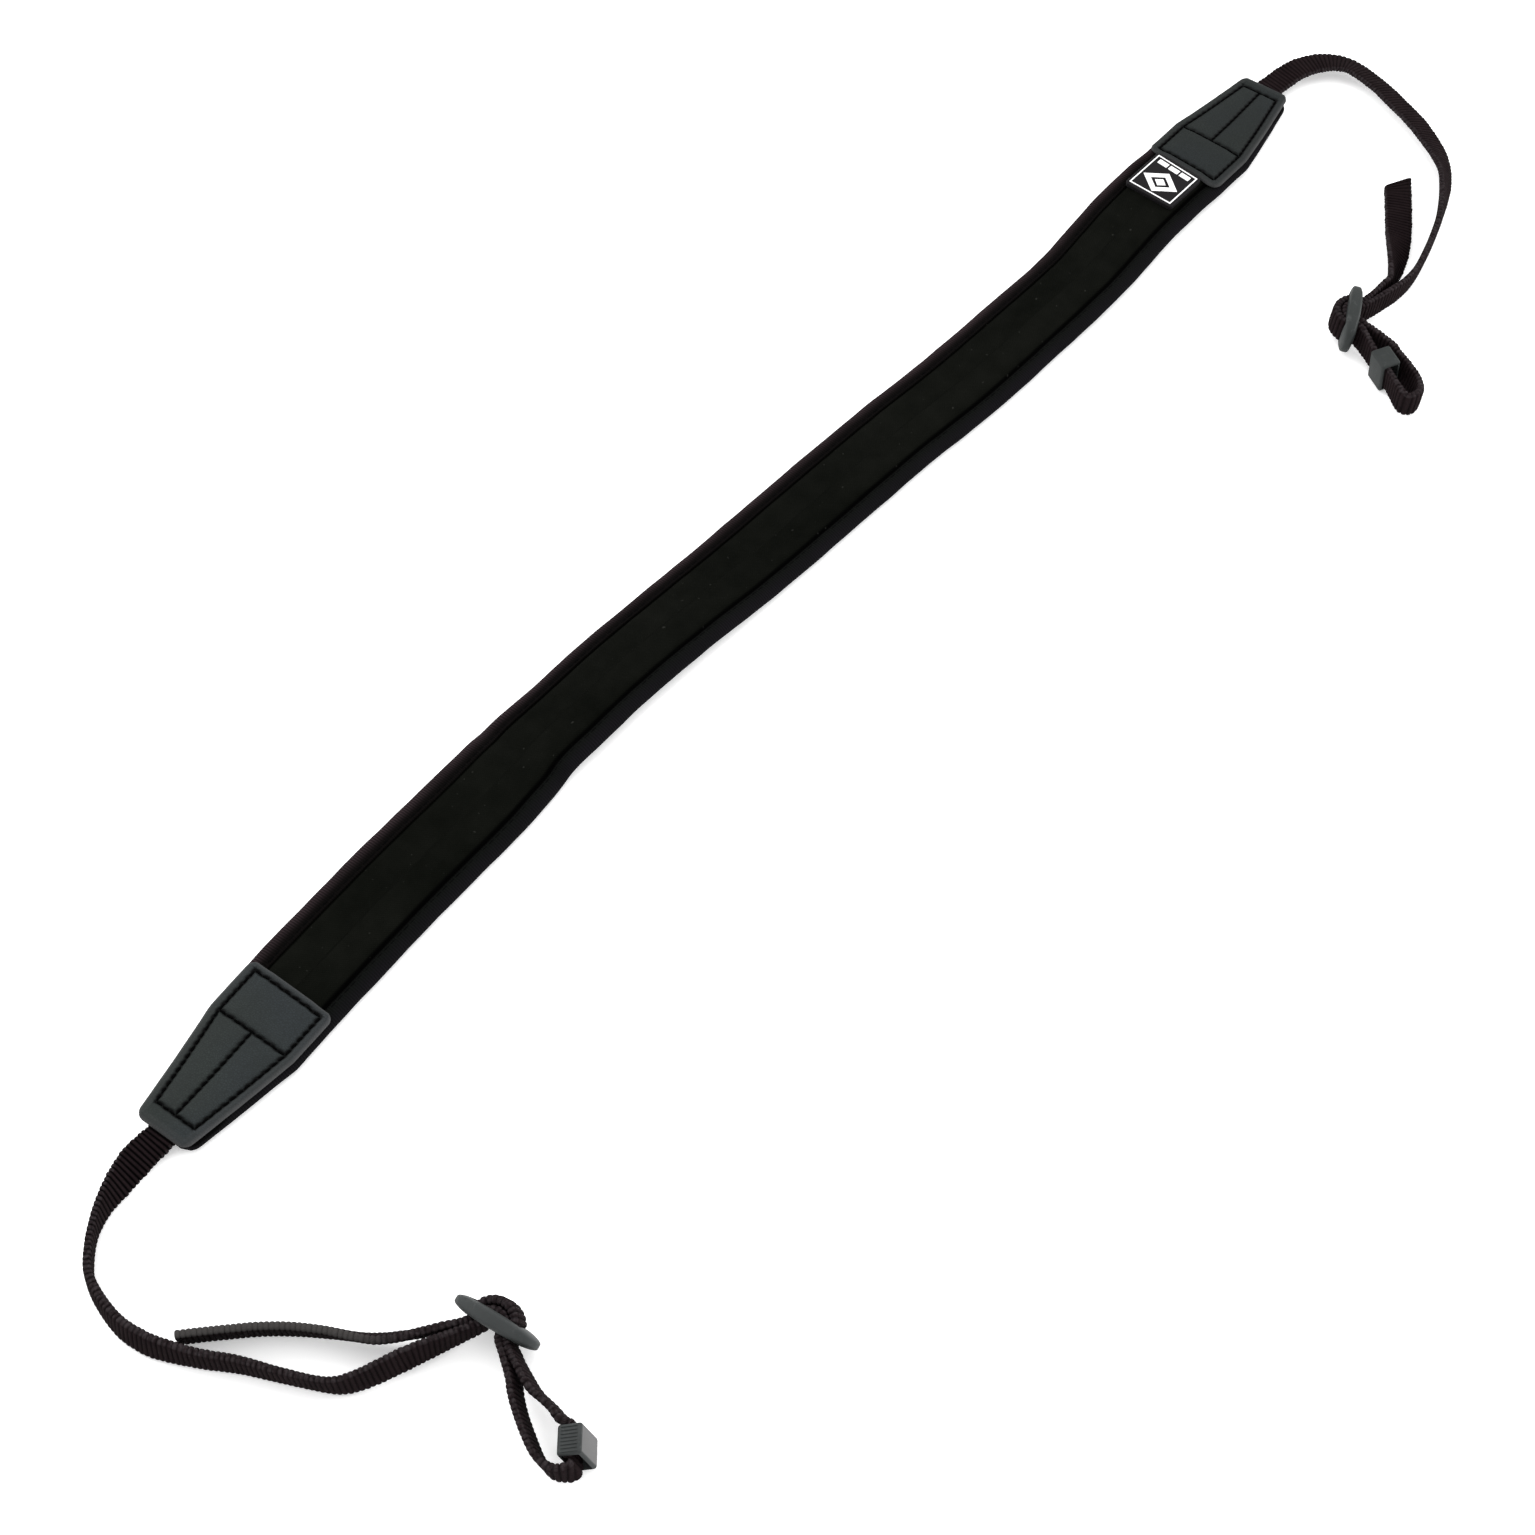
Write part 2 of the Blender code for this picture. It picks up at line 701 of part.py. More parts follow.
def make_slider(name, tip, place):
    plastic = make_material(name + "_plastic", PLASTIC_LOOK)
    body = extruded_outline(name, lens_outline(), SLIDER_HEIGHT, "Z")
    oval = oval_outline(0.5 * SLIDER_LENGTH + 0.0001, 0.5 * SLIDER_HEIGHT, 2.5, 28)
    combine(body, extruded_outline("oval", oval, 4 * SLIDER_MIDDLE, "Y"), "INTERSECT")
    slot_height = 0.5 * WEB_WIDTH + 2 * FIT_GAP
    window = oval_outline(window_half(), slot_height, 9.0, 20)
    combine(body, extruded_outline("window", window, 4 * SLIDER_MIDDLE, "Y"), "DIFFERENCE")
    bar = oval_outline(0.5 * BAR_WIDTH, 0.5 * BAR_THICK, 2.4, 16)
    bar_length = SLIDER_HEIGHT - 0.0022
    combine(body, extruded_outline("bar", bar, bar_length, "Z"), "UNION")
    body.data.materials.clear()
    body.data.materials.append(plastic)
    smooth_item(body, 35)
    set_place(body, tip, place)


def make_keeper(name, tip, place):
    plastic = make_material(name + "_plastic", PLASTIC_LOOK)
    depth = keeper_hole_depth() + 2 * KEEPER_WALL
    width = WEB_WIDTH + 2 * KEEPER_SIDE + 2 * KEEPER_WALL
    bpy.ops.mesh.primitive_cube_add(size=1.0)
    tube = bpy.context.active_object
    tube.name = name
    tube.data.name = name
    tube.scale = (KEEPER_LENGTH, depth, width)
    bpy.ops.object.transform_apply(location=False, rotation=False, scale=True)
    for other in list(tube.users_collection):
        other.objects.unlink(tube)
    PARTS.objects.link(tube)
    rounding = tube.modifiers.new("rounding", "BEVEL")
    rounding.width = KEEPER_CORNER
    rounding.segments = 2
    rounding.limit_method = "ANGLE"
    choose(tube)
    bpy.ops.object.modifier_apply(modifier=rounding.name)
    hole_outline = oval_outline(0.5 * keeper_hole_depth(), 0.5 * WEB_WIDTH + KEEPER_SIDE, 12.0, 20)
    hole = extruded_outline("hole", hole_outline, 3 * KEEPER_LENGTH, "Z")
    hole.rotation_euler = (math.radians(90), 0.0, math.radians(90))
    combine_turned(tube, hole)
    tube.data.materials.clear()
    tube.data.materials.append(plastic)
    smooth_item(tube, 35)
    set_place(tube, tip, place)


def combine_turned(item, tool):
    choose(tool)
    bpy.ops.object.transform_apply(location=False, rotation=True, scale=False)
    combine(item, tool, "DIFFERENCE")


def set_place(item, tip, place):
    item.location = run_point(tip, place)
    item.rotation_euler = (math.radians(place[4]), 0.0, math.radians(place[3]))


def centre_on_floor():
    # Move everything so the whole strap is centred and rests on the floor
    bpy.context.view_layer.update()
    low = Vector((9.0, 9.0, 9.0))
    high = -low
    for item in PARTS.objects:
        for vertex in item.data.vertices:
            spot = item.matrix_world @ vertex.co
            low = Vector(map(min, low, spot))
            high = Vector(map(max, high, spot))
    shift = Vector((0.5 * (low.x + high.x), 0.5 * (low.y + high.y), low.z))
    for item in PARTS.objects:
        item.location = item.location - shift
    print("strap size", tuple(round(1000 * v, 2) for v in high - low), "shift", tuple(shift))


clear_scene()
PARTS = bpy.data.collections.new("camera_neck_strap")
bpy.context.scene.collection.children.link(PARTS)
make_band()
make_patch("near_end_patch", 0.0, 1.0)
make_patch("far_end_patch", BAND_SPAN, -1.0)
make_label()
make_webbing("near_webbing", near_controls(), 0.0)
make_webbing("far_webbing", far_controls(), FAR_TIP_SLANT)
make_slider("near_slider", 0.0, NEAR_SLIDER)
make_slider("far_slider", BAND_SPAN, FAR_SLIDER)
make_keeper("near_keeper", 0.0, NEAR_KEEPER)
make_keeper("far_keeper", BAND_SPAN, FAR_KEEPER)
centre_on_floor()
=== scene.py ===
import math

import bpy
import numpy as np
from mathutils import Euler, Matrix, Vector


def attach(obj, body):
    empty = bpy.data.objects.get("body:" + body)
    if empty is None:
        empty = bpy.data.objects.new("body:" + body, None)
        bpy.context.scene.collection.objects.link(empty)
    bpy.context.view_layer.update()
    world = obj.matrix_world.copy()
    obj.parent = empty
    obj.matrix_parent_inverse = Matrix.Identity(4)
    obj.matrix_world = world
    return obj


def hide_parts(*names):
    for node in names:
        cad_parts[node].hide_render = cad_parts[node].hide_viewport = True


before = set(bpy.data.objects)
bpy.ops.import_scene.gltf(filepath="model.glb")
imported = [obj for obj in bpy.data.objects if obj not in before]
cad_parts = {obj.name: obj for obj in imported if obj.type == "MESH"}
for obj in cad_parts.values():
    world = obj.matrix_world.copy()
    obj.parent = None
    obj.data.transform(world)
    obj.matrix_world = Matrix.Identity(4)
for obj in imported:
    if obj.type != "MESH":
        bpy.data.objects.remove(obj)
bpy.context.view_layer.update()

# camera first: same height and angle as the photograph
cameraView = {
    "target": (-0.06757, 0.01945, 0.00011), "azimuth": 310.27, "elevation": 54.5,
    "distance": 0.92125, "lens": 66.98,
}


def addCamera(view):
    side, tilt = math.radians(view["azimuth"]), math.radians(view["elevation"])
    away = Vector((math.sin(side) * math.cos(tilt), -math.cos(side) * math.cos(tilt), math.sin(tilt)))
    bpy.ops.object.camera_add(location=Vector(view["target"]) + away * view["distance"])
    camera = bpy.context.object
    camera.rotation_euler = (-away).to_track_quat("-Z", "Y").to_euler()
    camera.data.lens = view["lens"]
    camera.data.clip_start = 0.05
    camera.data.dof.use_dof = False
    bpy.context.scene.camera = camera


addCamera(cameraView)
print("camera is up")

# the way the strap lies, in metres: along the band, aside of it, lift and roll
bandCourse = {
    "span": 0.5853,
    "width": 0.0341,
    "foam": 0.0048,
    "tipFoam": 0.0042,
    "tipWidth": 0.0204,
    "tipInset": 0.0012,
    "tipRound": 0.0036,
    "origin": (-0.2863047, 0.0748503, 0.0001283),  # near tip of the band in the shared frame
    "rows": [  # share along, share of the width aside, lift in foam thicknesses, roll in degrees
        (0.000, -0.205, 0.06, 2.0), (0.046, -0.144, 0.06, 5.0), (0.101, -0.053, 0.00, 8.0),
        (0.140, 0.001, 0.00, 8.5), (0.191, 0.060, 0.00, 8.5), (0.249, 0.104, 0.00, 8.0),
        (0.276, 0.150, 0.00, 4.5), (0.297, 0.182, 0.00, -2.5), (0.321, 0.173, 0.00, -5.5),
        (0.370, 0.177, 0.00, -6.0), (0.421, 0.144, 0.00, -5.0), (0.473, 0.110, 0.00, -1.5),
        (0.524, 0.088, 0.00, 0.0), (0.607, 0.040, 0.00, 0.0), (0.664, -0.025, 0.00, 1.0),
        (0.720, -0.043, 0.00, 0.0), (0.783, -0.053, 0.00, -2.0), (0.814, -0.010, 0.08, 0.0),
        (0.843, 0.029, 0.19, 1.0), (0.882, 0.043, 0.29, 1.5), (0.904, 0.029, 0.31, 1.0),
        (0.951, 0.043, 0.25, 0.5), (1.000, 0.095, 0.10, 0.0),
    ],
}
endPatch = {
    "length": 0.0593, "square": 0.0190, "width": 0.0320, "tipWidth": 0.0196, "thick": 0.0018,
    "corner": 0.0030, "tipCorner": 0.0029, "wideMargin": 0.0027, "sideMargin": 0.0033, "crossLine": 0.0189,
    "channel": 0.00076, "depth": 0.00080, "puff": 0.00032, "roll": 0.0016, "skin": 0.0005, "stitch": 0.0027,
}
webbing = {
    "width": 0.0100, "thick": 0.0023, "sewn": 0.0230, "reach": 0.1200, "rib": 0.00155,
    "fullWidth": 0.0103, "fullThick": 0.00244, "wrapPuff": 0.22, "loft": 0.24,
    "nearRun": [  # shares of the reach along and aside, height in webbing widths, lean in degrees
        (-0.078, -0.006, 0.44, 62), (-0.152, -0.021, 0.49, 30), (-0.221, -0.041, 0.52, 6),
        (-0.280, -0.071, 0.52, -4), (-0.329, -0.110, 0.52, -5), (-0.370, -0.157, 0.52, -4),
        (-0.395, -0.223, 0.52, -5), (-0.408, -0.302, 0.52, -8), (-0.402, -0.365, 0.52, -10),
        (-0.387, -0.416, 0.52, -8), (-0.344, -0.506, 0.52, 0), (-0.294, -0.589, 0.52, 3),
        (-0.252, -0.677, 0.52, 6), (-0.208, -0.764, 0.53, 6), (-0.180, -0.804, 0.56, 1),
        (-0.142, -0.831, 0.60, -6), (-0.098, -0.853, 0.66, -9), (-0.052, -0.873, 0.72, -11),
        (-0.005, -0.895, 0.77, -8),
    ],
    "nearLegOut": [
        (0.088, -1.104, 0.80, 19), (0.062, -1.136, 0.78, 18), (0.040, -1.168, 0.77, 18),
        (0.020, -1.203, 0.76, 18), (0.001, -1.240, 0.76, 18), (-0.014, -1.274, 0.76, 16),
        (-0.020, -1.304, 0.76, 12), (-0.017, -1.332, 0.76, 6), (0.001, -1.352, 0.76, 0),
    ],
    "nearLegBack": [
        (0.086, -1.262, 0.76, -18), (0.092, -1.230, 0.77, -18), (0.094, -1.200, 0.78, -18),
        (0.095, -1.170, 0.79, -19), (0.104, -1.138, 0.80, -20),
    ],
    "nearTail": [
        (0.071, -0.896, 0.82, -14), (0.030, -0.863, 0.77, -20), (-0.006, -0.830, 0.70, -29),
        (-0.041, -0.793, 0.63, -30), (-0.072, -0.746, 0.58, -23), (-0.107, -0.686, 0.55, -16),
        (-0.151, -0.621, 0.53, -13),
        (-0.200, -0.563, 0.53, -13), (-0.250, -0.514, 0.53, -13), (-0.300, -0.467, 0.53, -13),
        (-0.342, -0.429, 0.53, -13),
    ],
    "farRun": [
        (0.122, -0.016, 0.48, 90), (0.182, -0.038, 0.50, 88), (0.227, -0.069, 0.50, 85),
        (0.258, -0.111, 0.50, 79), (0.270, -0.166, 0.48, 72), (0.251, -0.272, 0.46, 69),
        (0.222, -0.353, 0.46, 70), (0.183, -0.453, 0.46, 69), (0.124, -0.555, 0.47, 62),
        (0.077, -0.613, 0.49, 49), (0.022, -0.661, 0.51, 31), (-0.041, -0.697, 0.52, 19),
        (-0.108, -0.729, 0.52, 7), (-0.175, -0.757, 0.52, -2), (-0.285, -0.792, 0.54, -6),
        (-0.402, -0.821, 0.61, -8), (-0.480, -0.828, 0.70, -7), (-0.550, -0.822, 0.78, -5),
    ],
    "farLegOut": [
        (-0.730, -0.935, 0.73, 2), (-0.747, -0.974, 0.69, -4), (-0.770, -1.022, 0.67, -8),
        (-0.795, -1.070, 0.66, -8), (-0.829, -1.106, 0.66, -3), (-0.864, -1.107, 0.67, 0),
        (-0.878, -1.081, 0.69, -4),
    ],
    "farLegBack": [],
    "farTail": [
        (-0.548, -0.794, 0.78, -2), (-0.505, -0.794, 0.73, -5), (-0.458, -0.776, 0.68, -18),
        (-0.397, -0.750, 0.60, -40), (-0.336, -0.719, 0.52, -60), (-0.280, -0.686, 0.44, -75),
        (-0.217, -0.647, 0.38, -82), (-0.139, -0.596, 0.32, -86), (-0.071, -0.551, 0.26, -88),
    ],
}
sliderPlate = {
    "length": 0.0276, "height": 0.0164, "middle": 0.0052, "end": 0.0032, "bar": 0.0042,
    "barThick": 0.0026, "barInset": 0.0014, "layerGap": 0.00035, "rise": 0.0029,
}
keeperLoop = {"length": 0.0090, "wall": 0.0010, "play": 0.0007, "side": 0.0004, "corner": 0.0009}
hardware = {  # shares of the reach along and aside, height in webbing widths, heading and lean in degrees
    "nearSlider": (0.163, -0.983, 0.842, -82.0, 20.0), "farSlider": (-0.706, -0.786, 0.83, -152.9, -5.0),
    "nearKeeper": (0.060, -1.330, 0.76, -139.7, 18.0), "farKeeper": (-0.803, -0.970, 0.72, -119.0, 4.0),
}


# the band's course

def rowCurve(rows, share, column):
    table = np.array(rows, float)
    x, y = table[:, 0], table[:, column]
    slope = np.gradient(y, x)
    slope[1:-1] = (y[2:] - y[:-2]) / (x[2:] - x[:-2])
    low = np.clip(np.searchsorted(x, share) - 1, 0, len(x) - 2)
    step = x[low + 1] - x[low]
    t = (share - x[low]) / step
    curve = (2 * t**3 - 3 * t**2 + 1) * y[low] + (3 * t**2 - 2 * t**3) * y[low + 1]
    return curve + (t**3 - 2 * t**2 + t) * step * slope[low] + (t**3 - t**2) * step * slope[low + 1]


def bandWidth(along):
    taper = endPatch["length"] - endPatch["square"]
    share = np.clip(np.minimum(along, bandCourse["span"] - along) / taper, 0, 1)
    return bandCourse["tipWidth"] + (bandCourse["width"] - bandCourse["tipWidth"]) * share


def foamTop(along):
    share = np.clip(np.minimum(along, bandCourse["span"] - along) / endPatch["length"], 0, 1)
    return bandCourse["tipFoam"] + (bandCourse["foam"] - bandCourse["tipFoam"]) * share


def bandMiddle(along):
    share = along / bandCourse["span"]
    roll = np.radians(rowCurve(bandCourse["rows"], share, 3))
    aside = rowCurve(bandCourse["rows"], share, 1) * bandCourse["width"]
    lift = rowCurve(bandCourse["rows"], share, 2) * bandCourse["foam"]
    lift += 0.5 * bandWidth(along) * np.hypot(np.sin(roll), 0.03)
    return np.stack([along, aside, lift], 1), roll


def unit(vectors):
    return vectors / np.linalg.norm(vectors, axis=1)[:, None]


def bandFrame(along):
    along = np.atleast_1d(np.asarray(along, float))
    here, roll = bandMiddle(along)
    ahead = unit(bandMiddle(along + 0.002)[0] - bandMiddle(along - 0.002)[0])
    side = unit(np.cross((0.0, 0.0, 1.0), ahead))
    up = np.cross(ahead, side)
    turn, rise = np.cos(roll)[:, None], np.sin(roll)[:, None]
    return here, side * turn + up * rise, up * turn - side * rise


# the webbing's course

def runPoint(tip, row):
    start = bandMiddle(np.array([tip]))[0][0]
    reach = webbing["reach"]
    return np.array([start[0] + row[0] * reach, start[1] + row[1] * reach, row[2] * webbing["width"]])


def turned(place):
    return np.array(Euler((math.radians(place[4]), 0, math.radians(place[3])), "XYZ").to_matrix())


def leaning(tip, rows):
    points = [runPoint(tip, row) for row in rows]
    out = []
    for k, row in enumerate(rows):
        ahead = points[min(k + 1, len(rows) - 1)] - points[max(k - 1, 0)]
        ahead /= np.linalg.norm(ahead)
        right = np.cross(ahead, (0, 0, 1))
        right /= np.linalg.norm(right)
        lean = math.radians(row[3])
        out.append((points[k], np.cross(right, ahead) * math.cos(lean) + right * math.sin(lean)))
    return out


def overBar(tip, place, side, layer, back):
    # half an ellipse over the slider's bar, in the first or the second layer
    axes, centre, plate, thick = turned(place), runPoint(tip, place), sliderPlate, webbing["thick"]
    reach = 0.5 * plate["bar"] + plate["layerGap"] + 0.5 * thick + layer * (thick + plate["layerGap"])
    rise = plate["rise"] + layer * (thick + 1.6 * plate["layerGap"])
    dip, flare = 1.55 * thick, 0.25 * thick
    arch = [(-reach - flare, -dip)]
    for degrees in (180, 157, 135, 112, 90, 68, 45, 23, 0):
        turn = math.radians(degrees)
        arch.append((reach * math.cos(turn), rise * math.sin(turn)))
    arch.append((reach + flare, -dip))
    if back:
        arch.reverse()
    return [(centre + axes[:, 0] * x + axes[:, 1] * side * y, axes[:, 2]) for x, y in arch]


def throughKeeper(tip, place):
    axes, centre, length = turned(place), runPoint(tip, place), keeperLoop["length"]
    offset = keeperLoop["side"] - 0.5 * (webbing["thick"] + keeperLoop["play"])
    out = []
    for share in (0.62, 0.2, -0.2, -0.62):
        out.append((centre + axes[:, 0] * share * length + axes[:, 1] * offset, axes[:, 2]))
    return out


def underPatch(tip, inward):
    out = []
    for share in (1.0, 0.55, 0.12, -0.06):
        along = tip + inward * share * webbing["sewn"]
        here, side, up = bandFrame(along)
        out.append((here[0] + up[0] * (float(foamTop(along)) - 0.5 * webbing["thick"]), side[0] * inward))
    return out


def webbingCourse(end):
    near = end == "near"
    tip, side = (0.0, 1.0) if near else (bandCourse["span"], -1.0)
    slider, keeper = hardware[end + "Slider"], hardware[end + "Keeper"]
    knots = underPatch(tip, side) + leaning(tip, webbing[end + "Run"])
    knots += overBar(tip, slider, side, 0, False) + leaning(tip, webbing[end + "LegOut"])
    knots += throughKeeper(tip, keeper) + leaning(tip, webbing[end + "LegBack"])
    knots += overBar(tip, slider, side, 1, True) + leaning(tip, webbing[end + "Tail"])
    place = np.array([knot[0] for knot in knots])
    wide = np.array([knot[1] for knot in knots])
    path, widths = [], []
    for k in range(len(knots) - 1):
        a, b, c, d = (place[min(max(k + n, 0), len(knots) - 1)] for n in (-1, 0, 1, 2))
        for t in np.arange(0, 1, 1 / 14):
            bend = (2 * a - 5 * b + 4 * c - d) * t**2 + (3 * b - a - 3 * c + d) * t**3
            path.append(0.5 * (2 * b + (c - a) * t + bend))
            widths.append(wide[k] * (1 - t) + wide[k + 1] * t)
    path = np.array(path + [place[-1]])
    widths = np.array(widths + [wide[-1]])
    travelled = np.concatenate([[0], np.cumsum(np.linalg.norm(np.diff(path, axis=0), axis=1))])
    return {"path": path, "widths": widths, "travelled": travelled, "length": travelled[-1]}


# hand tools

def deselectAll():
    if bpy.context.mode != "OBJECT":
        bpy.ops.object.mode_set(mode="OBJECT")
    bpy.ops.object.select_all(action="DESELECT")


def pick(piece):
    deselectAll()
    piece.select_set(True)
    bpy.context.view_layer.objects.active = piece


def added(name):
    piece = bpy.context.object
    piece.name = name
    piece.data.name = name
    return piece


def settle(piece):
    pick(piece)
    bpy.ops.object.transform_apply(location=True, rotation=True, scale=True)


def applyModifier(piece, kind, **settings):
    pick(piece)
    modifier = piece.modifiers.new(kind.lower(), kind)
    for key, value in settings.items():
        setattr(modifier, key, value)
    bpy.ops.object.modifier_apply(modifier=modifier.name)


def points(piece):
    flat = np.empty(len(piece.data.vertices) * 3)
    piece.data.vertices.foreach_get("co", flat)
    return flat.reshape(-1, 3)


def putPoints(piece, places):
    piece.data.vertices.foreach_set("co", np.ascontiguousarray(places, float).ravel())
    piece.data.update()


def pickEdges(piece, test):
    # opens edit mode with the edges chosen by a test on both their ends
    pick(piece)
    bpy.ops.object.mode_set(mode="EDIT")
    bpy.ops.mesh.select_mode(type="EDGE")
    bpy.ops.mesh.select_all(action="DESELECT")
    bpy.ops.object.mode_set(mode="OBJECT")
    ends = np.empty(len(piece.data.edges) * 2, int)
    piece.data.edges.foreach_get("vertices", ends)
    spots = points(piece)[ends.reshape(-1, 2)]
    piece.data.edges.foreach_set("select", test(spots[:, 0], spots[:, 1]))
    bpy.ops.object.mode_set(mode="EDIT")


def flatMap(piece, places):
    # the piece's own map in metres, laid out while it is still flat
    layer = piece.data.uv_layers.active or piece.data.uv_layers.new(name="cloth")
    layer.name = "cloth"
    loops = np.empty(len(piece.data.loops), int)
    piece.data.loops.foreach_get("vertex_index", loops)
    layer.data.foreach_set("uv", np.ascontiguousarray(places[loops], float).ravel())


def mark(piece, name, values):
    layer = piece.data.attributes.new(name, "FLOAT", "POINT")
    layer.data.foreach_set("value", np.ascontiguousarray(values, float))


def repeat(piece, count, step, **more):
    applyModifier(piece, "ARRAY", count=count, use_relative_offset=False, use_constant_offset=True,
                  constant_offset_displace=(step, 0, 0), **more)


def smooth(piece, degrees):
    pick(piece)
    bpy.ops.object.shade_smooth_by_angle(angle=math.radians(degrees))


def layOnBand(piece):
    flat = points(piece)
    here, side, up = bandFrame(flat[:, 0])
    putPoints(piece, here + side * flat[:, 1:2] + up * flat[:, 2:3] + np.array(bandCourse["origin"]))


def layOnRibbon(piece, course):
    flat = points(piece)
    spot, ahead, wide = [np.empty_like(flat) for n in range(3)]
    tangents = unit(np.gradient(course["path"], axis=0))
    for axis in range(3):
        spot[:, axis] = np.interp(flat[:, 0], course["travelled"], course["path"][:, axis])
        ahead[:, axis] = np.interp(flat[:, 0], course["travelled"], tangents[:, axis])
        wide[:, axis] = np.interp(flat[:, 0], course["travelled"], course["widths"][:, axis])
    ahead = unit(ahead)
    wide = unit(wide - ahead * np.sum(wide * ahead, axis=1)[:, None])
    spot += wide * flat[:, 1:2] + np.cross(ahead, wide) * flat[:, 2:3]
    putPoints(piece, spot + np.array(bandCourse["origin"]))


def ripple(x, y, scale, seed=0.0):
    # calm unevenness of sewn cloth, about -1 to 1
    a, b = x / scale, y / scale
    broad = 0.5 * np.sin(6.1 * a + 1.7 * b + seed)
    middling = 0.3 * np.sin(11.3 * a - 4.9 * b + 2 * seed + 1.1)
    return broad + middling + 0.2 * np.sin(17.9 * a + 9.7 * b + seed * 3)


def finishPiece(piece, finish, slotName, *nodes):
    piece.data.materials.clear()
    piece.data.materials.append(finish)
    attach(piece, "root")
    if nodes:
        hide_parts(*nodes)
    return piece


# surface finishes

class Wire:
    # one socket of a node tree, with arithmetic
    def __init__(self, tree, socket):
        self.tree, self.socket = tree, socket

    def maths(self, kind, *others):
        node = self.tree.nodes.new("ShaderNodeMath")
        node.operation = kind
        for slot, value in enumerate((self,) + others):
            plug(self.tree, node.inputs[slot], value)
        return Wire(self.tree, node.outputs[0])

    def __add__(self, other):
        return self.maths("ADD", other)

    def __sub__(self, other):
        return self.maths("SUBTRACT", other)

    def __rsub__(self, other):
        return self.maths("MULTIPLY_ADD", -1.0, other)

    def __mul__(self, other):
        return self.maths("MULTIPLY", other)

    __radd__ = __add__
    __rmul__ = __mul__


def plug(tree, socket, value):
    if isinstance(value, Wire):
        tree.links.new(value.socket, socket)
    elif isinstance(value, tuple) and len(value) == 3 and socket.type == "RGBA":
        socket.default_value = (*value, 1.0)
    else:
        socket.default_value = value


class Finish:
    # a material and the one way nodes are added to it
    def __init__(self, name, **constants):
        self.material = bpy.data.materials.new(name)
        self.material.use_nodes = True
        self.tree = self.material.node_tree
        self.shader = self.tree.nodes["Principled BSDF"]
        for key, value in constants.items():
            plug(self.tree, self.shader.inputs[key.replace("_", " ")], value)

    def node(self, kind, settings=None, output=0, **sockets):
        node = self.tree.nodes.new("ShaderNode" + kind)
        for key, value in (settings or {}).items():
            setattr(node, key, value)
        for key, value in sockets.items():
            numbered = key[0] == "i" and key[1:].isdigit()
            plug(self.tree, node.inputs[int(key[1:]) if numbered else key.replace("_", " ")], value)
        return Wire(self.tree, node.outputs[output])

    def mix(self, factor, first, second):
        return self.node("Mix", {"data_type": "RGBA"}, 2, i0=factor, i6=first, i7=second)

    def blotches(self, where, scale, detail=3.0, rough=0.55):
        return self.node("TexNoise", Vector=where, Scale=scale, Detail=detail, Roughness=rough)

    def step(self, value, low, high):
        return self.node("MapRange", {"clamp": True}, Value=value, From_Min=low, From_Max=high)

    def bump(self, height, strength, distance):
        return self.node("Bump", Height=height, Strength=strength, Distance=distance)

    def feed(self, **links):
        for key, value in links.items():
            plug(self.tree, self.shader.inputs[key.replace("_", " ")], value)
        return self.material

    def cloth(self):
        return self.node("UVMap", {"uv_map": "cloth"})

    def split(self, vector):
        node = self.tree.nodes.new("ShaderNodeSeparateXYZ")
        self.tree.links.new(vector.socket, node.inputs[0])
        return [Wire(self.tree, node.outputs[n]) for n in range(3)]

    def marked(self, name):
        return self.node("Attribute", {"attribute_name": name}, 2)


def clothFinish(name, dark, light, fuzz, knit):
    # matt jersey over foam: fine knit, faint lint and a calm mottle, with painted shade in the groove beside
    # the raised panel on the right side
    finish = Finish(name, Specular_IOR_Level=0.02, Sheen_Weight=fuzz, Sheen_Roughness=0.7,
                    Sheen_Tint=(0.5, 0.5, 0.48))
    where = finish.cloth()
    x, y, z = finish.split(where)
    broad = finish.step(finish.blotches(where, 24, 3), 0.32, 0.70)
    mottle = finish.step(finish.blotches(where, 150, 3), 0.35, 0.68)
    grain = finish.blotches(where, 1300, 2)
    lint = finish.step(finish.blotches(where, 540, 1, 0.4), 0.735, 0.80)
    wales = (x * (6283 / knit)).maths("SINE")
    courses = (y * (6283 / knit)).maths("SINE")
    loops = wales * courses
    colour = finish.mix(broad * 0.45 + mottle * 0.25 + grain * 0.3, dark, light)
    # painted shade: near-black where the groove beside the raised panel falls in shadow, on the right side
    colour = finish.mix(finish.marked("grooveShade"), colour, (0.0002, 0.0002, 0.0002))
    colour = finish.mix(lint * 0.13, colour, (0.10, 0.10, 0.09))
    height = loops * 0.45 + grain * 0.9
    relief = finish.bump(height, 0.55, 0.0002)
    return finish.feed(Base_Color=colour, Roughness=0.88 + 0.1 * grain, Normal=relief)


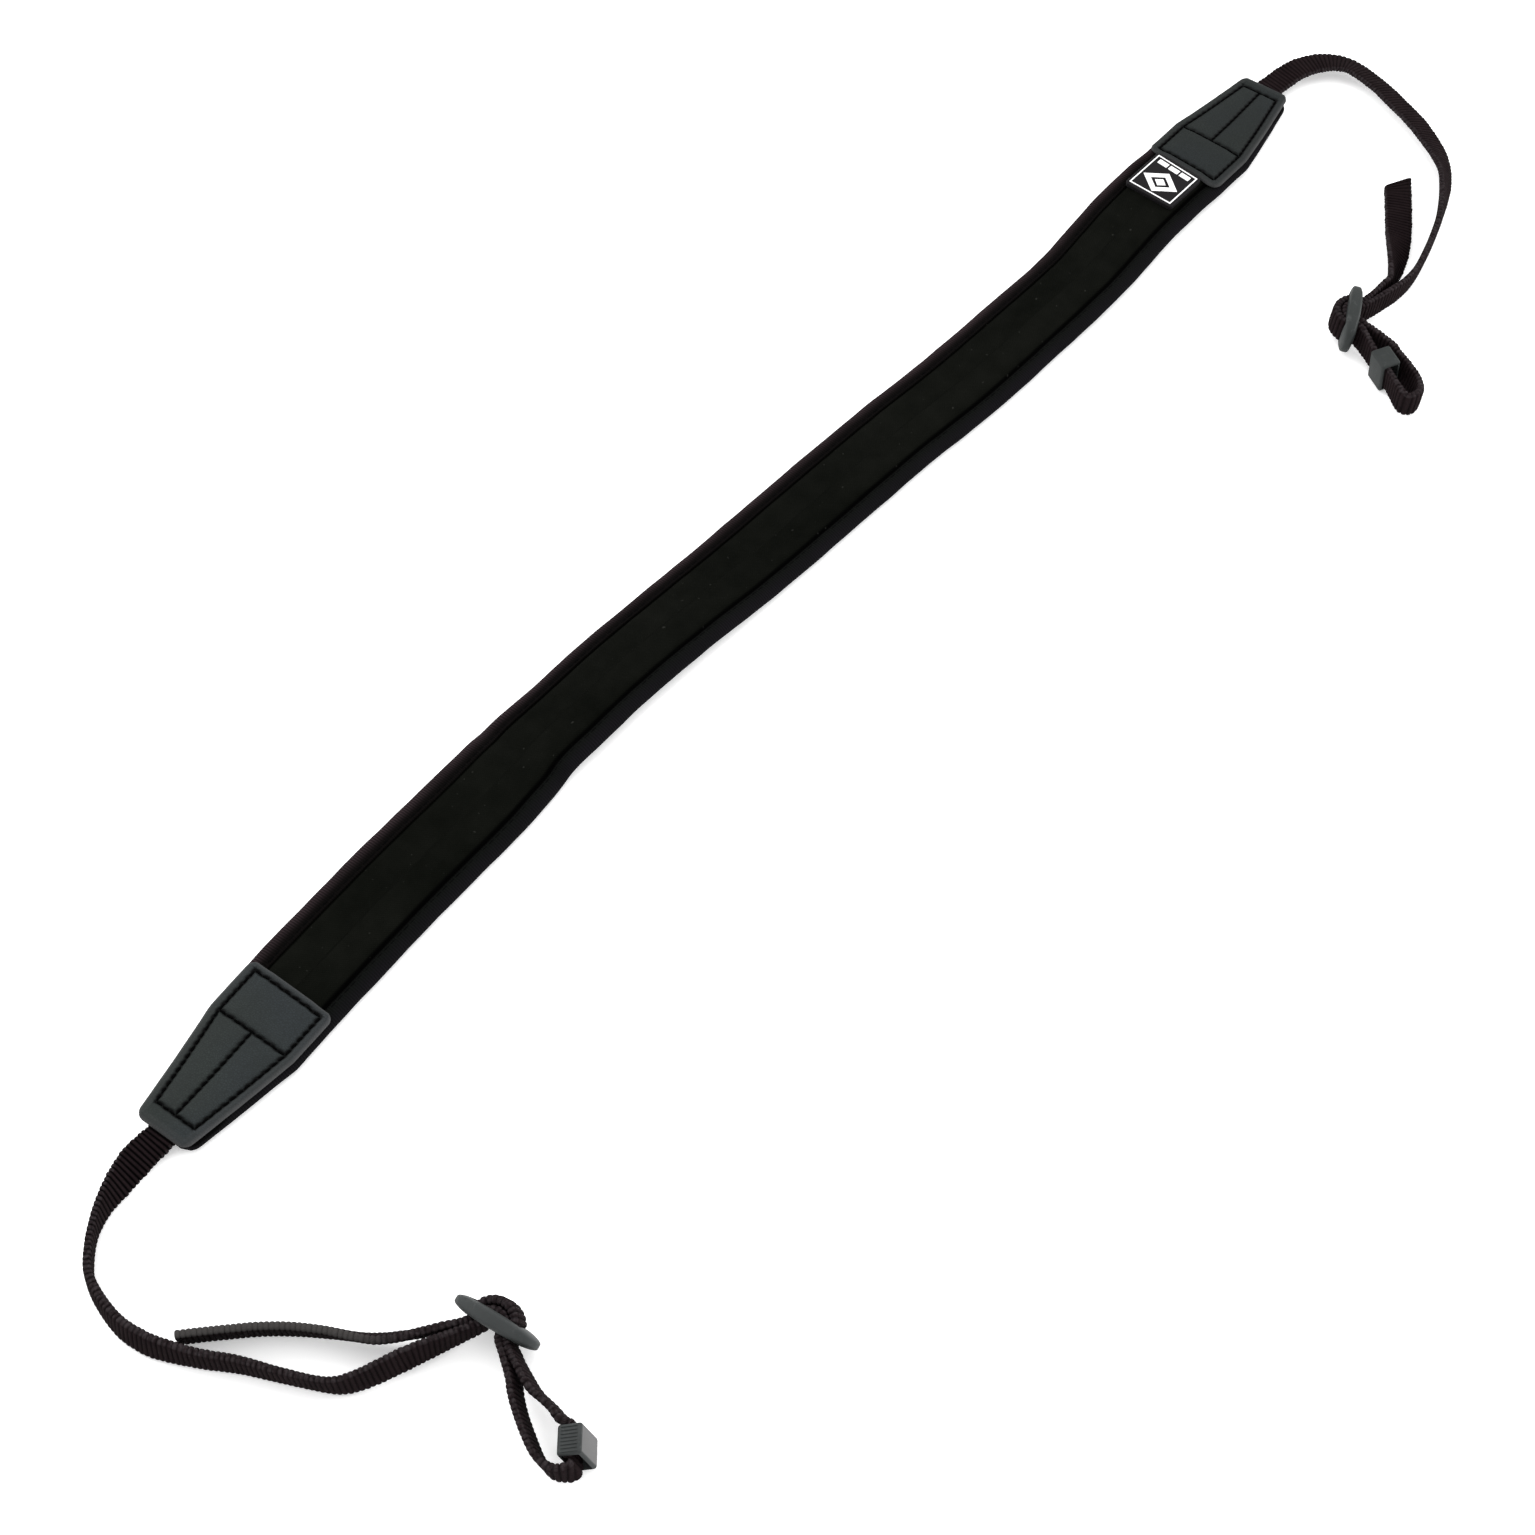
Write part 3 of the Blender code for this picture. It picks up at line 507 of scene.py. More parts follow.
def tapeFinish(name, base, paintedLight, highlightStrength):
    # woven binding tape: crosswise ribs, a painted highlight along its outer edge and dark along the seam,
    # which on the right tape is widened by painted shade beside the panel
    finish = Finish(name, Specular_IOR_Level=0.02, Sheen_Weight=0.01, Sheen_Roughness=0.5,
                    Sheen_Tint=(0.6, 0.5, 0.5))
    where = finish.cloth()
    x, y, z = finish.split(where)
    ribs = (x * 6980).maths("SINE") * 0.5 + 0.5
    yarn = (y * 9000 + x * 3490).maths("SINE") * 0.5 + 0.5
    grain = finish.blotches(where, 900, 2)
    drift = finish.step(finish.blotches(where, 45, 2), 0.35, 0.65)
    edge, seam = finish.marked("edge"), finish.marked("seam")
    colour = finish.mix(grain, (0.55 * base[0], 0.55 * base[1], 0.55 * base[2]), base)
    # painted highlight along the outer edge, strongest on the rib crests
    colour = finish.mix(edge * highlightStrength * (0.25 + 0.75 * ribs) * (0.6 + 0.4 * drift), colour, paintedLight)
    # dark seam: the stitch line, and on the right tape a wide band of painted shade beside the raised panel
    colour = finish.mix(seam, colour, (0.0008, 0.0008, 0.0008))
    height = ribs * 0.8 + yarn * 0.3 + grain * 0.3
    relief = finish.bump(height, 0.6, 0.00024)
    return finish.feed(Base_Color=colour, Roughness=0.82 + 0.12 * grain, Normal=relief)


def skinFinish(name, tone):
    # fine-grained coated leather, darker in the sewn channels, with a painted highlight along the rounded
    # rim
    finish = Finish(name, Specular_IOR_Level=0.09)
    where = finish.cloth()
    cells = finish.node("TexVoronoi", {"feature": "DISTANCE_TO_EDGE"}, Vector=where, Scale=1400.0,
                        Randomness=0.9)
    cells = finish.step(cells, 0.0, 0.22)
    clouds = finish.step(finish.blotches(where, 60, 3), 0.3, 0.7)
    bluish = finish.step(finish.blotches(where, 26, 1), 0.42, 0.62)
    grain = finish.blotches(where, 2600, 2)
    seam, rim = finish.marked("seam"), finish.marked("rim")
    colour = finish.mix(clouds, (0.0165, 0.0200, 0.0188), (0.0230, 0.0280, 0.0262))
    colour = finish.mix(bluish * 0.6, colour, (0.0185, 0.0225, 0.0270))
    colour = finish.mix(0.35 + cells * 0.65, (0.012, 0.014, 0.0135), colour)
    # painted highlight along the rounded rim; the rim mark also lightens a band within 3 mm of the edge
    colour = finish.mix(rim * (0.35 + 0.4 * grain), colour, (0.062, 0.061, 0.062))
    colour = finish.mix(seam, colour, (0.0006, 0.0006, 0.0007))
    colour = finish.mix(1 - tone, colour, (0.0, 0.0, 0.0)) if tone < 1 else colour
    rough = 0.56 + 0.14 * grain + 0.10 * clouds
    relief = finish.bump(cells * 0.9 + grain * 0.5, 0.4, 0.00013)
    return finish.feed(Base_Color=colour, Roughness=rough, Normal=relief)


def webFinish(name):
    # webbing with ribs: warp threads run along it and wrap each rib; painted highlights on the rib crests,
    # the selvedges and the near tail's edges, painted shade in the troughs
    finish = Finish(name, Specular_IOR_Level=0.015, Sheen_Weight=0.010, Sheen_Roughness=0.4,
                    Sheen_Tint=(0.62, 0.5, 0.52))
    where = finish.cloth()
    x, y, z = finish.split(where)
    warp = (y * 17900).maths("SINE") * 0.5 + 0.5
    twist = (x * 9500 + y * 8900).maths("SINE") * 0.5 + 0.5
    grain = finish.blotches(where, 1300, 3)
    patches = finish.step(finish.blotches(where, 130, 3), 0.35, 0.7)
    fuzz = finish.step(finish.blotches(where, 700, 2), 0.4, 0.62)
    crest, selvedgeHighlight = finish.marked("crest"), finish.marked("selvedgeHighlight")
    trough = finish.step(crest, 0.96, 0.50)
    base = finish.mix(patches, (0.0029, 0.0018, 0.0020), (0.0084, 0.0054, 0.0058))
    # painted highlight on the rib crests
    base = finish.mix(crest * (0.10 + 0.5 * grain), base, (0.022, 0.0145, 0.0160))
    # painted highlight along both selvedges
    base = finish.mix(selvedgeHighlight * (0.10 + 0.6 * fuzz), base, (0.040, 0.034, 0.036))
    # painted shade in the troughs between ribs, strongest near the near patch
    base = finish.mix(trough * finish.marked("troughShade"), base, (0.0004, 0.0003, 0.0004))
    # painted highlight on the near tail's selvedges, towards its free end
    base = finish.mix(selvedgeHighlight * finish.marked("tailHighlight"), base, (0.047, 0.044, 0.043))
    height = warp * 0.55 + twist * 0.3 + grain * 0.7
    relief = finish.bump(height, 0.7, 0.00024)
    return finish.feed(Base_Color=base, Roughness=0.76 + 0.16 * grain, Normal=relief)


def plasticFinish(name, dark, light):
    # moulded matt plastic with a faint spark-eroded texture, scuffs, and a painted highlight on the keeper's
    # side that faces the light
    finish = Finish(name, Specular_IOR_Level=0.12)
    where = finish.node("TexCoord", None, 3)
    fine = finish.blotches(where, 2400, 2)
    broad = finish.blotches(where, 160, 3)
    scuff = finish.node("TexNoise", Vector=where, Scale=420.0, Detail=4.0, Distortion=0.8)
    scuff = finish.step(scuff, 0.60, 0.72)
    colour = finish.mix(broad, dark, light)
    colour = finish.mix(scuff * 0.3, colour, (0.075, 0.078, 0.078))
    # painted light: the marked keeper side is painted lighter
    colour = finish.mix(finish.marked("paintedLight") * (0.75 + 0.35 * fine), colour, (0.105, 0.104, 0.104))
    relief = finish.bump(fine + broad * 0.4, 0.3, 0.00012)
    return finish.feed(Base_Color=colour, Roughness=0.5 + 0.16 * fine, Normal=relief)


def plainFinish(name, colour, rough, spread, shine):
    finish = Finish(name, Specular_IOR_Level=shine)
    where = finish.node("TexCoord", None, 3)
    fine = finish.blotches(where, 1800, 2)
    shade = finish.mix(fine * spread, colour, tuple(0.55 * v + 0.02 for v in colour))
    relief = finish.bump(fine, 0.25, 0.0001)
    return finish.feed(Base_Color=shade, Roughness=rough + 0.12 * fine, Normal=relief)


padFinish = clothFinish("padJersey", (0.0007, 0.0010, 0.0005), (0.0046, 0.0049, 0.0038), 0.004, 0.9)
# one binding tape in two copies: a strong painted highlight on the left outer edge, a weaker, darker one on
# the right
leftEdgeFinish = tapeFinish("leftBindingTape", (0.0026, 0.0021, 0.0020), (0.034, 0.023, 0.026), 1.0)
rightEdgeFinish = tapeFinish("rightBindingTape", (0.0034, 0.0040, 0.0035), (0.0095, 0.0070, 0.0115), 0.5)
nearPatchFinish = skinFinish("nearPatchLeather", 1.0)
farPatchFinish = skinFinish("farPatchLeather", 0.70)
webbingFinish = webFinish("ribbedWebbing")
nearHardFinish = plasticFinish("nearPlastic", (0.024, 0.027, 0.027), (0.040, 0.043, 0.043))
farHardFinish = plasticFinish("farPlastic", (0.017, 0.020, 0.0195), (0.030, 0.033, 0.0325))
threadFinish = plainFinish("blackThread", (0.0008, 0.0008, 0.0009), 0.85, 0.02, 0.02)
labelFinish = plainFinish("labelRubber", (0.0045, 0.0036, 0.0045), 0.6, 0.1, 0.12)
printFinish = plainFinish("labelPrint", (0.86, 0.86, 0.86), 0.55, 0.08, 0.12)
print("finishes mixed")


# band: a long tube given the section of the raised panel with its sewn flanges

padSection = [  # half section from the top middle round to the bottom middle: aside, height in millimetres
    (0.0, 4.98), (2.5, 4.97), (5.0, 4.92), (7.0, 4.84), (8.3, 4.72), (9.2, 4.50), (9.8, 4.15), (10.2, 3.70),
    (10.42, 3.25), (10.6, 3.08), (12.0, 3.06), (14.0, 3.06), (15.5, 3.00), (15.9, 2.60), (15.9, 1.50),
    (15.5, 1.12), (12.0, 1.08), (10.45, 1.05), (10.3, 0.55), (9.8, 0.12), (9.0, 0.0), (5.0, 0.0),
    (0.0, 0.0),
]
tapeSection = [  # whole section of the folded tape, outside then inside
    (10.85, 3.62), (10.88, 3.98), (11.10, 4.16), (11.50, 4.14), (11.95, 4.00), (12.45, 4.14), (13.20, 4.24),
    (14.30, 4.20), (15.30, 4.00), (16.10, 3.60), (16.70, 3.05), (17.00, 2.45), (17.05, 2.00), (16.95, 1.45),
    (16.60, 0.85), (16.00, 0.35), (15.20, 0.08), (13.50, 0.0), (11.20, 0.0), (10.88, 0.12), (10.85, 0.45),
    (11.10, 0.74), (12.50, 0.78), (15.50, 0.80), (16.05, 1.15), (16.15, 2.10), (16.05, 3.00), (15.50, 3.40),
    (12.50, 3.42), (11.10, 3.45),
]
# grooveShade: how far aside the pad's painted shade begins, at the groove on the right side
padSurface = {"panel": 0.0098, "fade": 0.004, "wave": 0.00010, "flangeWave": 0.00013, "grooveShade": 0.0100}
tapeSurface = {
    "stitch": 0.01195, "rightStitch": 0.01255, "outer": 0.0130, "outerFade": 0.0029, "wave": 0.00010,
    "sideWave": 0.00012, "grooveEnd": 0.0128, "grooveFade": 0.0014,
}


def sectionRing(section, count):
    # evenly spread points round a closed section, with the distance walked round it
    ring = np.array(section + [section[0]], float)
    walked = np.concatenate([[0], np.cumsum(np.hypot(*np.diff(ring, axis=0).T))])
    steps = np.linspace(0, walked[-1], count, endpoint=False)
    return np.stack([np.interp(steps, walked, ring[:, n]) for n in (0, 1)], 1) / 1000, steps / 1000


def unitTube(name, sides, cuts, least):
    # open tube of unit radius and length along x, its edges over a least length along x cut short
    deselectAll()
    bpy.ops.mesh.primitive_cylinder_add(vertices=sides, radius=1, depth=1, end_fill_type="NOTHING",
                                        location=(0.5, 0, 0), rotation=(0, math.pi / 2, 0))
    tube = added(name)
    settle(tube)
    for cut in cuts:
        pickEdges(tube, lambda first, second: abs(first[:, 0] - second[:, 0]) > least)
        bpy.ops.mesh.subdivide(number_cuts=cut)
        bpy.ops.object.mode_set(mode="OBJECT")
    return tube


def longTube(name, section, count, start, end, cuts):
    # a tube given the closed section, with its own map
    tube = unitTube(name, count, cuts, 0.0000001)
    spots = points(tube)
    ring, walked = sectionRing(section, count)
    index = np.round(np.arctan2(spots[:, 1], spots[:, 2]) / (2 * math.pi) * count).astype(int) % count
    along = start + (end - start) * spots[:, 0]
    putPoints(tube, np.stack([along, ring[index, 0], ring[index, 1]], 1))
    flatMap(tube, np.stack([along, walked[index]], 1))
    return tube


def closeEnds(piece, start, end):
    for spot in (start, end):
        pickEdges(piece, lambda *ends: np.max([abs(end[:, 0] - spot) for end in ends], axis=0) < 0.000001)
        bpy.ops.mesh.edge_face_add()
        bpy.ops.object.mode_set(mode="OBJECT")


def outwards(piece):
    pick(piece)
    bpy.ops.object.mode_set(mode="EDIT")
    bpy.ops.mesh.select_all(action="SELECT")
    bpy.ops.mesh.normals_make_consistent(inside=False)
    bpy.ops.object.mode_set(mode="OBJECT")


def scaleToBand(spots):
    # narrows and thins the flat section under the patches, and rounds its tips
    along, flange, tapeTop, tip = spots[:, 0], 0.0031, 0.0042, bandCourse["tipRound"]
    thin = np.clip((foamTop(along) - flange) / (bandCourse["foam"] - flange), 0.1, 1)
    reach = np.minimum(along, bandCourse["span"] - along) - bandCourse["tipInset"]
    pull = tip - np.sqrt(tip**2 - np.clip(tip - reach, 0, tip) ** 2)
    spots[:, 1] *= bandWidth(along) / bandCourse["width"] * (1 - pull / (0.5 * bandWidth(along)))
    spots[:, 2] = np.where(spots[:, 2] > tapeTop, tapeTop + (spots[:, 2] - tapeTop) * thin, spots[:, 2])
    return spots


def bandTube(name, section, count):
    # one section run from tip to tip of the band, in 500 short lengths
    start, end = bandCourse["tipInset"], bandCourse["span"] - bandCourse["tipInset"]
    tube = longTube(name, section, count, start, end, (9, 9, 4))
    closeEnds(tube, start, end)
    return tube


def makePad():
    pad = bandTube("padCloth", padSection + [(-y, z) for y, z in reversed(padSection[1:-1])], 104)
    outwards(pad)
    spots = points(pad)
    x, y, z = spots.T
    top = z > 0.0033
    inward = np.minimum(x, bandCourse["span"] - x)
    panel = np.clip((padSurface["panel"] - abs(y)) / padSurface["fade"], 0, 1)
    puff = padSurface["wave"] * ripple(x, y, 0.060) * panel
    puff += padSurface["flangeWave"] * ripple(x, y, 0.021, 2.0) * (1 - panel)
    spots[:, 2] += np.where(top, puff, 0)
    spots = scaleToBand(spots)
    trough = (inward < webbing["sewn"] + 0.0014) & (abs(spots[:, 1]) < 0.5 * webbing["width"] + 0.0006) & top
    spots[:, 2] -= np.where(trough, webbing["thick"] + 0.0003, 0)
    putPoints(pad, spots)
    # painted shade: the pad darkened from the right groove outwards, standing in for the shadow beside the
    # raised panel
    aside = -spots[:, 1] / np.maximum(bandWidth(x) / bandCourse["width"], 0.1)
    mark(pad, "grooveShade", np.clip((aside - padSurface["grooveShade"]) / 0.0003, 0, 1))
    layOnBand(pad)
    smooth(pad, 60)
    finishPiece(pad, padFinish, "pad_cloth", "neck_pad")


def makeBinding(name, side, node, finish, gap):
    surface = tapeSurface
    tape = bandTube(name, tapeSection, 48)
    spots = points(tape)
    x, y, z = spots.T
    top = z > 0.0030
    outer = np.clip((y - surface["outer"]) / surface["outerFade"], 0, 1)
    opened = gap * np.clip((surface["grooveEnd"] - y) / surface["grooveFade"], 0, 1)  # beside the panel
    spots[:, 1] += np.where(top, opened, 0)
    spots[:, 2] += np.where(z > 0.0034, surface["wave"] * ripple(x, y, 0.024, side) * (1 - outer), 0)
    spots[:, 1] += surface["sideWave"] * ripple(x, z, 0.035, 1 + side) * outer
    spots = scaleToBand(spots)
    spots[:, 1] *= side
    putPoints(tape, spots)
    # edge: the outer share, which carries the painted highlight in the finish
    mark(tape, "edge", outer)
    # seam: a thin stitch line on the left tape; on the right tape a wide band inward of 12.2 mm, the seam
    # with painted shade from the panel's wall
    thin = np.clip(1 - abs(abs(y) - surface["stitch"]) / 0.00035, 0, 1)
    wide = np.clip((0.0122 - abs(y)) / 0.0004, 0, 1)
    mark(tape, "seam", (thin if side > 0 else wide) * top)
    outwards(tape)
    layOnBand(tape)
    smooth(tape, 60)
    finishPiece(tape, finish, "edge_tape", node)


makePad()
makeBinding("leftTape", 1, "left_binding", leftEdgeFinish, 0.0)
makeBinding("rightTape", -1, "right_binding", rightEdgeFinish, 0.0007)
print("band padded and bound")


# end patches: a grid cut to the outline, rounded at the rim and drawn in along the seams

def patchHalf(distance, corners=True):
    taper = endPatch["length"] - endPatch["square"]
    share = np.clip((distance - endPatch["square"]) / taper, 0, 1)
    full = 0.5 * (endPatch["width"] + (endPatch["tipWidth"] - endPatch["width"]) * share)
    reach = np.minimum(distance, endPatch["length"] - distance)
    corner = np.where(distance > 0.5 * endPatch["length"], endPatch["tipCorner"], endPatch["corner"])
    inside = np.clip(corner - reach, 0, corner)
    return full - (corner - np.sqrt(np.maximum(corner**2 - inside**2, 0))) if corners else full


def seamDistance(distance, aside, endMargin):
    last = endPatch["length"] - endMargin
    side = patchHalf(distance, False) - endPatch["sideMargin"]
    inSpan = (distance > endPatch["wideMargin"] - 0.0004) & (distance < last + 0.0004)
    inWidth = abs(aside) < side + 0.0004
    sides = np.where(inSpan, abs(abs(aside) - side), 1)
    ends = np.where(inWidth, np.minimum(abs(distance - endPatch["wideMargin"]), abs(distance - last)), 1)
    cross = np.where(inWidth, abs(distance - endPatch["crossLine"]), 1)
    middle = np.where((distance > endPatch["crossLine"]) & (distance < last), abs(aside), 1)
    return np.minimum(np.minimum(sides, ends), np.minimum(cross, middle))


def patchSeat(along, aside):
    # what a patch lies on: the foam's crown, falling to the tapes at its sides
    tapeTop, clear = 0.0045, 0.0003
    crown = foamTop(along) + clear
    share = np.clip((bandWidth(along) * 0.335 - abs(aside)) / 0.0045, 0, 1)
    return tapeTop + (crown - tapeTop) * share * share * (3 - 2 * share)


def crowded(share):
    # crowds the grid's lines towards the rim
    return 0.55 * share + 0.45 * np.sin(0.5 * math.pi * share)


def makePatch(name, tip, inward, endMargin, node, finish):
    deselectAll()
    bpy.ops.mesh.primitive_grid_add(x_subdivisions=190, y_subdivisions=112, size=2)
    patch = added(name)
    spots = points(patch)
    distance = 0.5 * endPatch["length"] * (1 + crowded(spots[:, 0]))
    half = patchHalf(distance)
    aside = crowded(spots[:, 1]) * half
    along = tip + inward * (endPatch["length"] - distance)
    edge = np.minimum(np.minimum(distance, endPatch["length"] - distance), half - abs(aside))
    seam = seamDistance(distance, aside, endMargin)
    channel = np.exp(-((seam / endPatch["channel"]) ** 2))
    rounding = np.sqrt(np.clip(1 - (1 - np.clip(edge / endPatch["roll"], 0, 1)) ** 2, 0, 1))
    height = patchSeat(along, aside) + endPatch["skin"] + (endPatch["thick"] - endPatch["skin"]) * rounding
    height += endPatch["puff"] * np.clip(seam / 0.004, 0, 1) ** 0.6 * np.clip(edge / 0.003, 0, 1)
    height += 0.00006 * ripple(along, aside, 0.02, 4)
    height -= endPatch["depth"] * channel
    putPoints(patch, np.stack([along, aside, height], 1))
    flatMap(patch, np.stack([along, aside], 1))
    scallop = 0.72 + 0.28 * np.sin((along + 0.7 * aside) * 2 * math.pi / endPatch["stitch"])
    mark(patch, "seam", np.clip(channel * 2.3 * scallop - 0.2, 0, 1))
    # rim: painted highlight on the rounded rim, plus a fainter lighter band within 3 mm of the edge
    border = 0.22 * np.clip((0.0030 - edge) / 0.0008, 0, 1)
    mark(patch, "rim", np.clip(1 - edge / 0.0011, 0, 1) + border)
    outwards(patch)
    if patch.data.polygons[100].normal.z < 0:
        patch.data.flip_normals()
    applyModifier(patch, "SOLIDIFY", thickness=endPatch["skin"], offset=-1)
    layOnBand(patch)
    smooth(patch, 55)
    finishPiece(patch, finish, "patch_leather", node)


def makeStitch(name, length, wide, tall):
    deselectAll()
    bpy.ops.mesh.primitive_uv_sphere_add(segments=8, ring_count=6, radius=0.5)
    stitch = added(name)
    stitch.rotation_euler = (0, math.pi / 2, 0)
    settle(stitch)
    stitch.scale = (length, wide, tall)
    settle(stitch)
    spots = points(stitch)
    spots[:, 0] = 0.5 * length * np.sign(spots[:, 0]) * np.abs(2 * spots[:, 0] / length) ** 0.8
    putPoints(stitch, spots)
    return stitch


def stitchLine(lines, name, start, end, pitch, wide, height):
    # one stitch, repeated by an array from start to end and turned along the line
    start, end = np.array(start, float), np.array(end, float)
    run = np.linalg.norm(end - start)
    count = max(int(round(run / pitch)), 1)
    stitch = makeStitch(name, run / count * 0.84, wide, wide * 0.8)
    spots = points(stitch)
    spots[:, 0] += 0.5 * run / count
    putPoints(stitch, spots)
    repeat(stitch, count, run / count)
    stitch.rotation_euler = (0, 0, math.atan2(end[1] - start[1], end[0] - start[0]))
    stitch.location = (start[0], start[1], height)
    settle(stitch)
    lines.append(stitch)


def joinAll(lines, name):
    deselectAll()
    for line in lines:
        line.select_set(True)
    bpy.context.view_layer.objects.active = lines[0]
    bpy.ops.object.join()
    return added(name)


def makePatchThreads(name, tip, inward, endMargin):
    def spot(distance, share):
        # a place on the seam lines, from one side seam to the other
        half = float(patchHalf(np.array([distance]), False)[0]) - endPatch["sideMargin"]
        return tip + inward * (endPatch["length"] - distance), share * half

    square, cross = endPatch["square"], endPatch["crossLine"]
    first, last = endPatch["wideMargin"], endPatch["length"] - endMargin
    runs = [((distance, -1), (distance, 1)) for distance in (first, cross, last)]
    runs.append(((cross, 0), (last, 0)))
    for side in (-1, 1):
        runs += [((first, side), (square, side)), ((square, side), (last, side))]
    lines = []
    for start, end in runs:
        stitchLine(lines, name, spot(*start), spot(*end), endPatch["stitch"], 0.00062, 0)
    threads = joinAll(lines, name)
    spots = points(threads)
    spots[:, 2] += patchSeat(spots[:, 0], spots[:, 1]) + endPatch["thick"] - 0.00050
    putPoints(threads, spots)
    layOnBand(threads)
    smooth(threads, 80)
    finishPiece(threads, threadFinish, "edge_tape")


nearTipMargin, farTipMargin = 0.0068, 0.0054
makePatch("nearPatch", 0.0, 1, nearTipMargin, "near_end_patch", nearPatchFinish)
makePatch("farPatch", bandCourse["span"], -1, farTipMargin, "far_end_patch", farPatchFinish)
makePatchThreads("nearPatchThreads", 0.0, 1, nearTipMargin)
makePatchThreads("farPatchThreads", bandCourse["span"], -1, farTipMargin)


def makeBindingThreads(name, side):
    inset = endPatch["length"] + 0.002
    aside = tapeSurface["stitch"] if side > 0 else -tapeSurface["rightStitch"]
    lines = []
    stitchLine(lines, name, (inset, aside), (bandCourse["span"] - inset, aside), 0.0031, 0.00045, 0.00402)
    threads = lines[0]
    layOnBand(threads)
    smooth(threads, 80)
    finishPiece(threads, threadFinish, "edge_tape")


makeBindingThreads("leftTapeThreads", 1)
makeBindingThreads("rightTapeThreads", -1)
print("ends sewn")


# label: a thin rubber square with a plain geometric print

label = {
    "length": 0.0200, "width": 0.0208, "thick": 0.0018, "aside": 0.0007, "space": 0.0006, "corner": 0.0014,
    "lift": 0.0003, "frame": 0.00045, "inset": 0.0012, "print": 0.00022, "figure": -0.0020, "bars": 0.0064,
    "barPitch": 0.0051,
}


def labelMiddle():
    return bandCourse["span"] - endPatch["length"] - label["space"] - 0.5 * label["length"]


def makeLabel():
    deselectAll()
    low = bandCourse["foam"] + label["lift"]
    middle = (labelMiddle(), label["aside"], low + 0.5 * label["thick"])
    bpy.ops.mesh.primitive_cube_add(size=1, location=middle)
    plate = added("labelPlate")
    plate.scale = (label["length"], label["width"], label["thick"])
    settle(plate)
    pickEdges(plate, lambda first, second: abs(first[:, 2] - second[:, 2]) > 0.00001)
    bpy.ops.mesh.bevel(offset=label["corner"], segments=5)
    bpy.ops.object.mode_set(mode="OBJECT")
    top = low + label["thick"] - 0.000001
    pickEdges(plate, lambda first, second: np.minimum(first[:, 2], second[:, 2]) > top)
    bpy.ops.mesh.bevel(offset=0.0004, segments=3)
    bpy.ops.object.mode_set(mode="OBJECT")
    layOnBand(plate)
    smooth(plate, 35)
    finishPiece(plate, labelFinish, "label_rubber", "label_patch")


def flatFrame(name, sides, radius, wide, height, stretch=(1, 1), turn=0.0):
    # a flat ring with a few sides, raised a little: inset, drop the middle, extrude
    deselectAll()
    bpy.ops.mesh.primitive_circle_add(vertices=sides, radius=radius, fill_type="NGON", rotation=(0, 0, turn))
    ring = added(name)
    settle(ring)
    ring.scale = (stretch[0], stretch[1], 1)
    settle(ring)
    if wide:
        pick(ring)
        bpy.ops.object.mode_set(mode="EDIT")
        bpy.ops.mesh.select_mode(type="FACE")
        bpy.ops.mesh.select_all(action="SELECT")
        bpy.ops.mesh.inset(thickness=wide)
        bpy.ops.mesh.delete(type="FACE")
        bpy.ops.object.mode_set(mode="OBJECT")
    pick(ring)
    bpy.ops.object.mode_set(mode="EDIT")
    bpy.ops.mesh.select_all(action="SELECT")
    bpy.ops.mesh.extrude_region_move(TRANSFORM_OT_translate={"value": (0, 0, height)})
    bpy.ops.mesh.select_all(action="SELECT")
    bpy.ops.mesh.normals_make_consistent(inside=False)
    bpy.ops.object.mode_set(mode="OBJECT")
    return ring


def makeLabelPrint():
    raised, square, turn = label["print"], math.sqrt(2), math.pi / 4
    halfLong, halfWide = 0.5 * label["length"] - label["inset"], 0.5 * label["width"] - label["inset"]
    stretch = (halfLong / halfWide, 1)
    border = flatFrame("labelPrint", 4, halfWide * square, label["frame"], raised, stretch, turn)
    lozenge = flatFrame("lozenge", 4, 0.0068, 0.0019, raised, (0.82, 1.12))
    lozenge.location.x = label["figure"]
    core = flatFrame("core", 4, 0.0021, 0, raised, (0.9, 1.15))
    core.location.x = label["figure"]
    marks = [border, lozenge, core]
    for step in (-1, 0, 1):
        bar = flatFrame("bar", 4, 0.0010 * square, 0, raised, (1, 2.1), turn)
        bar.location = (label["bars"], step * label["barPitch"], 0)
        marks.append(bar)
    for piece in marks:
        settle(piece)
    printed = joinAll(marks, "labelPrint")
    low = bandCourse["foam"] + label["lift"] + label["thick"] - 0.00004
    printed.location = (labelMiddle(), label["aside"], low)
    settle(printed)
    layOnBand(printed)
    finishPiece(printed, printFinish, "label_rubber")


makeLabel()
makeLabelPrint()
print("label set")


# webbing: one rib, repeated along the whole length, then laid along its course

def wrapShare(course, along):
    # 1 where the webbing bends round a bar or a loop end, 0 where it runs straight
    ahead = unit(np.gradient(course["path"], axis=0))
    pace = np.maximum(np.gradient(course["travelled"]), 1e-6)
    bend = np.linalg.norm(np.gradient(ahead, axis=0), axis=1) / pace
    calm = np.convolve(bend, np.ones(15) / 15, "same")
    return np.interp(along, course["travelled"], np.clip((calm - 60) / 80, 0, 1))


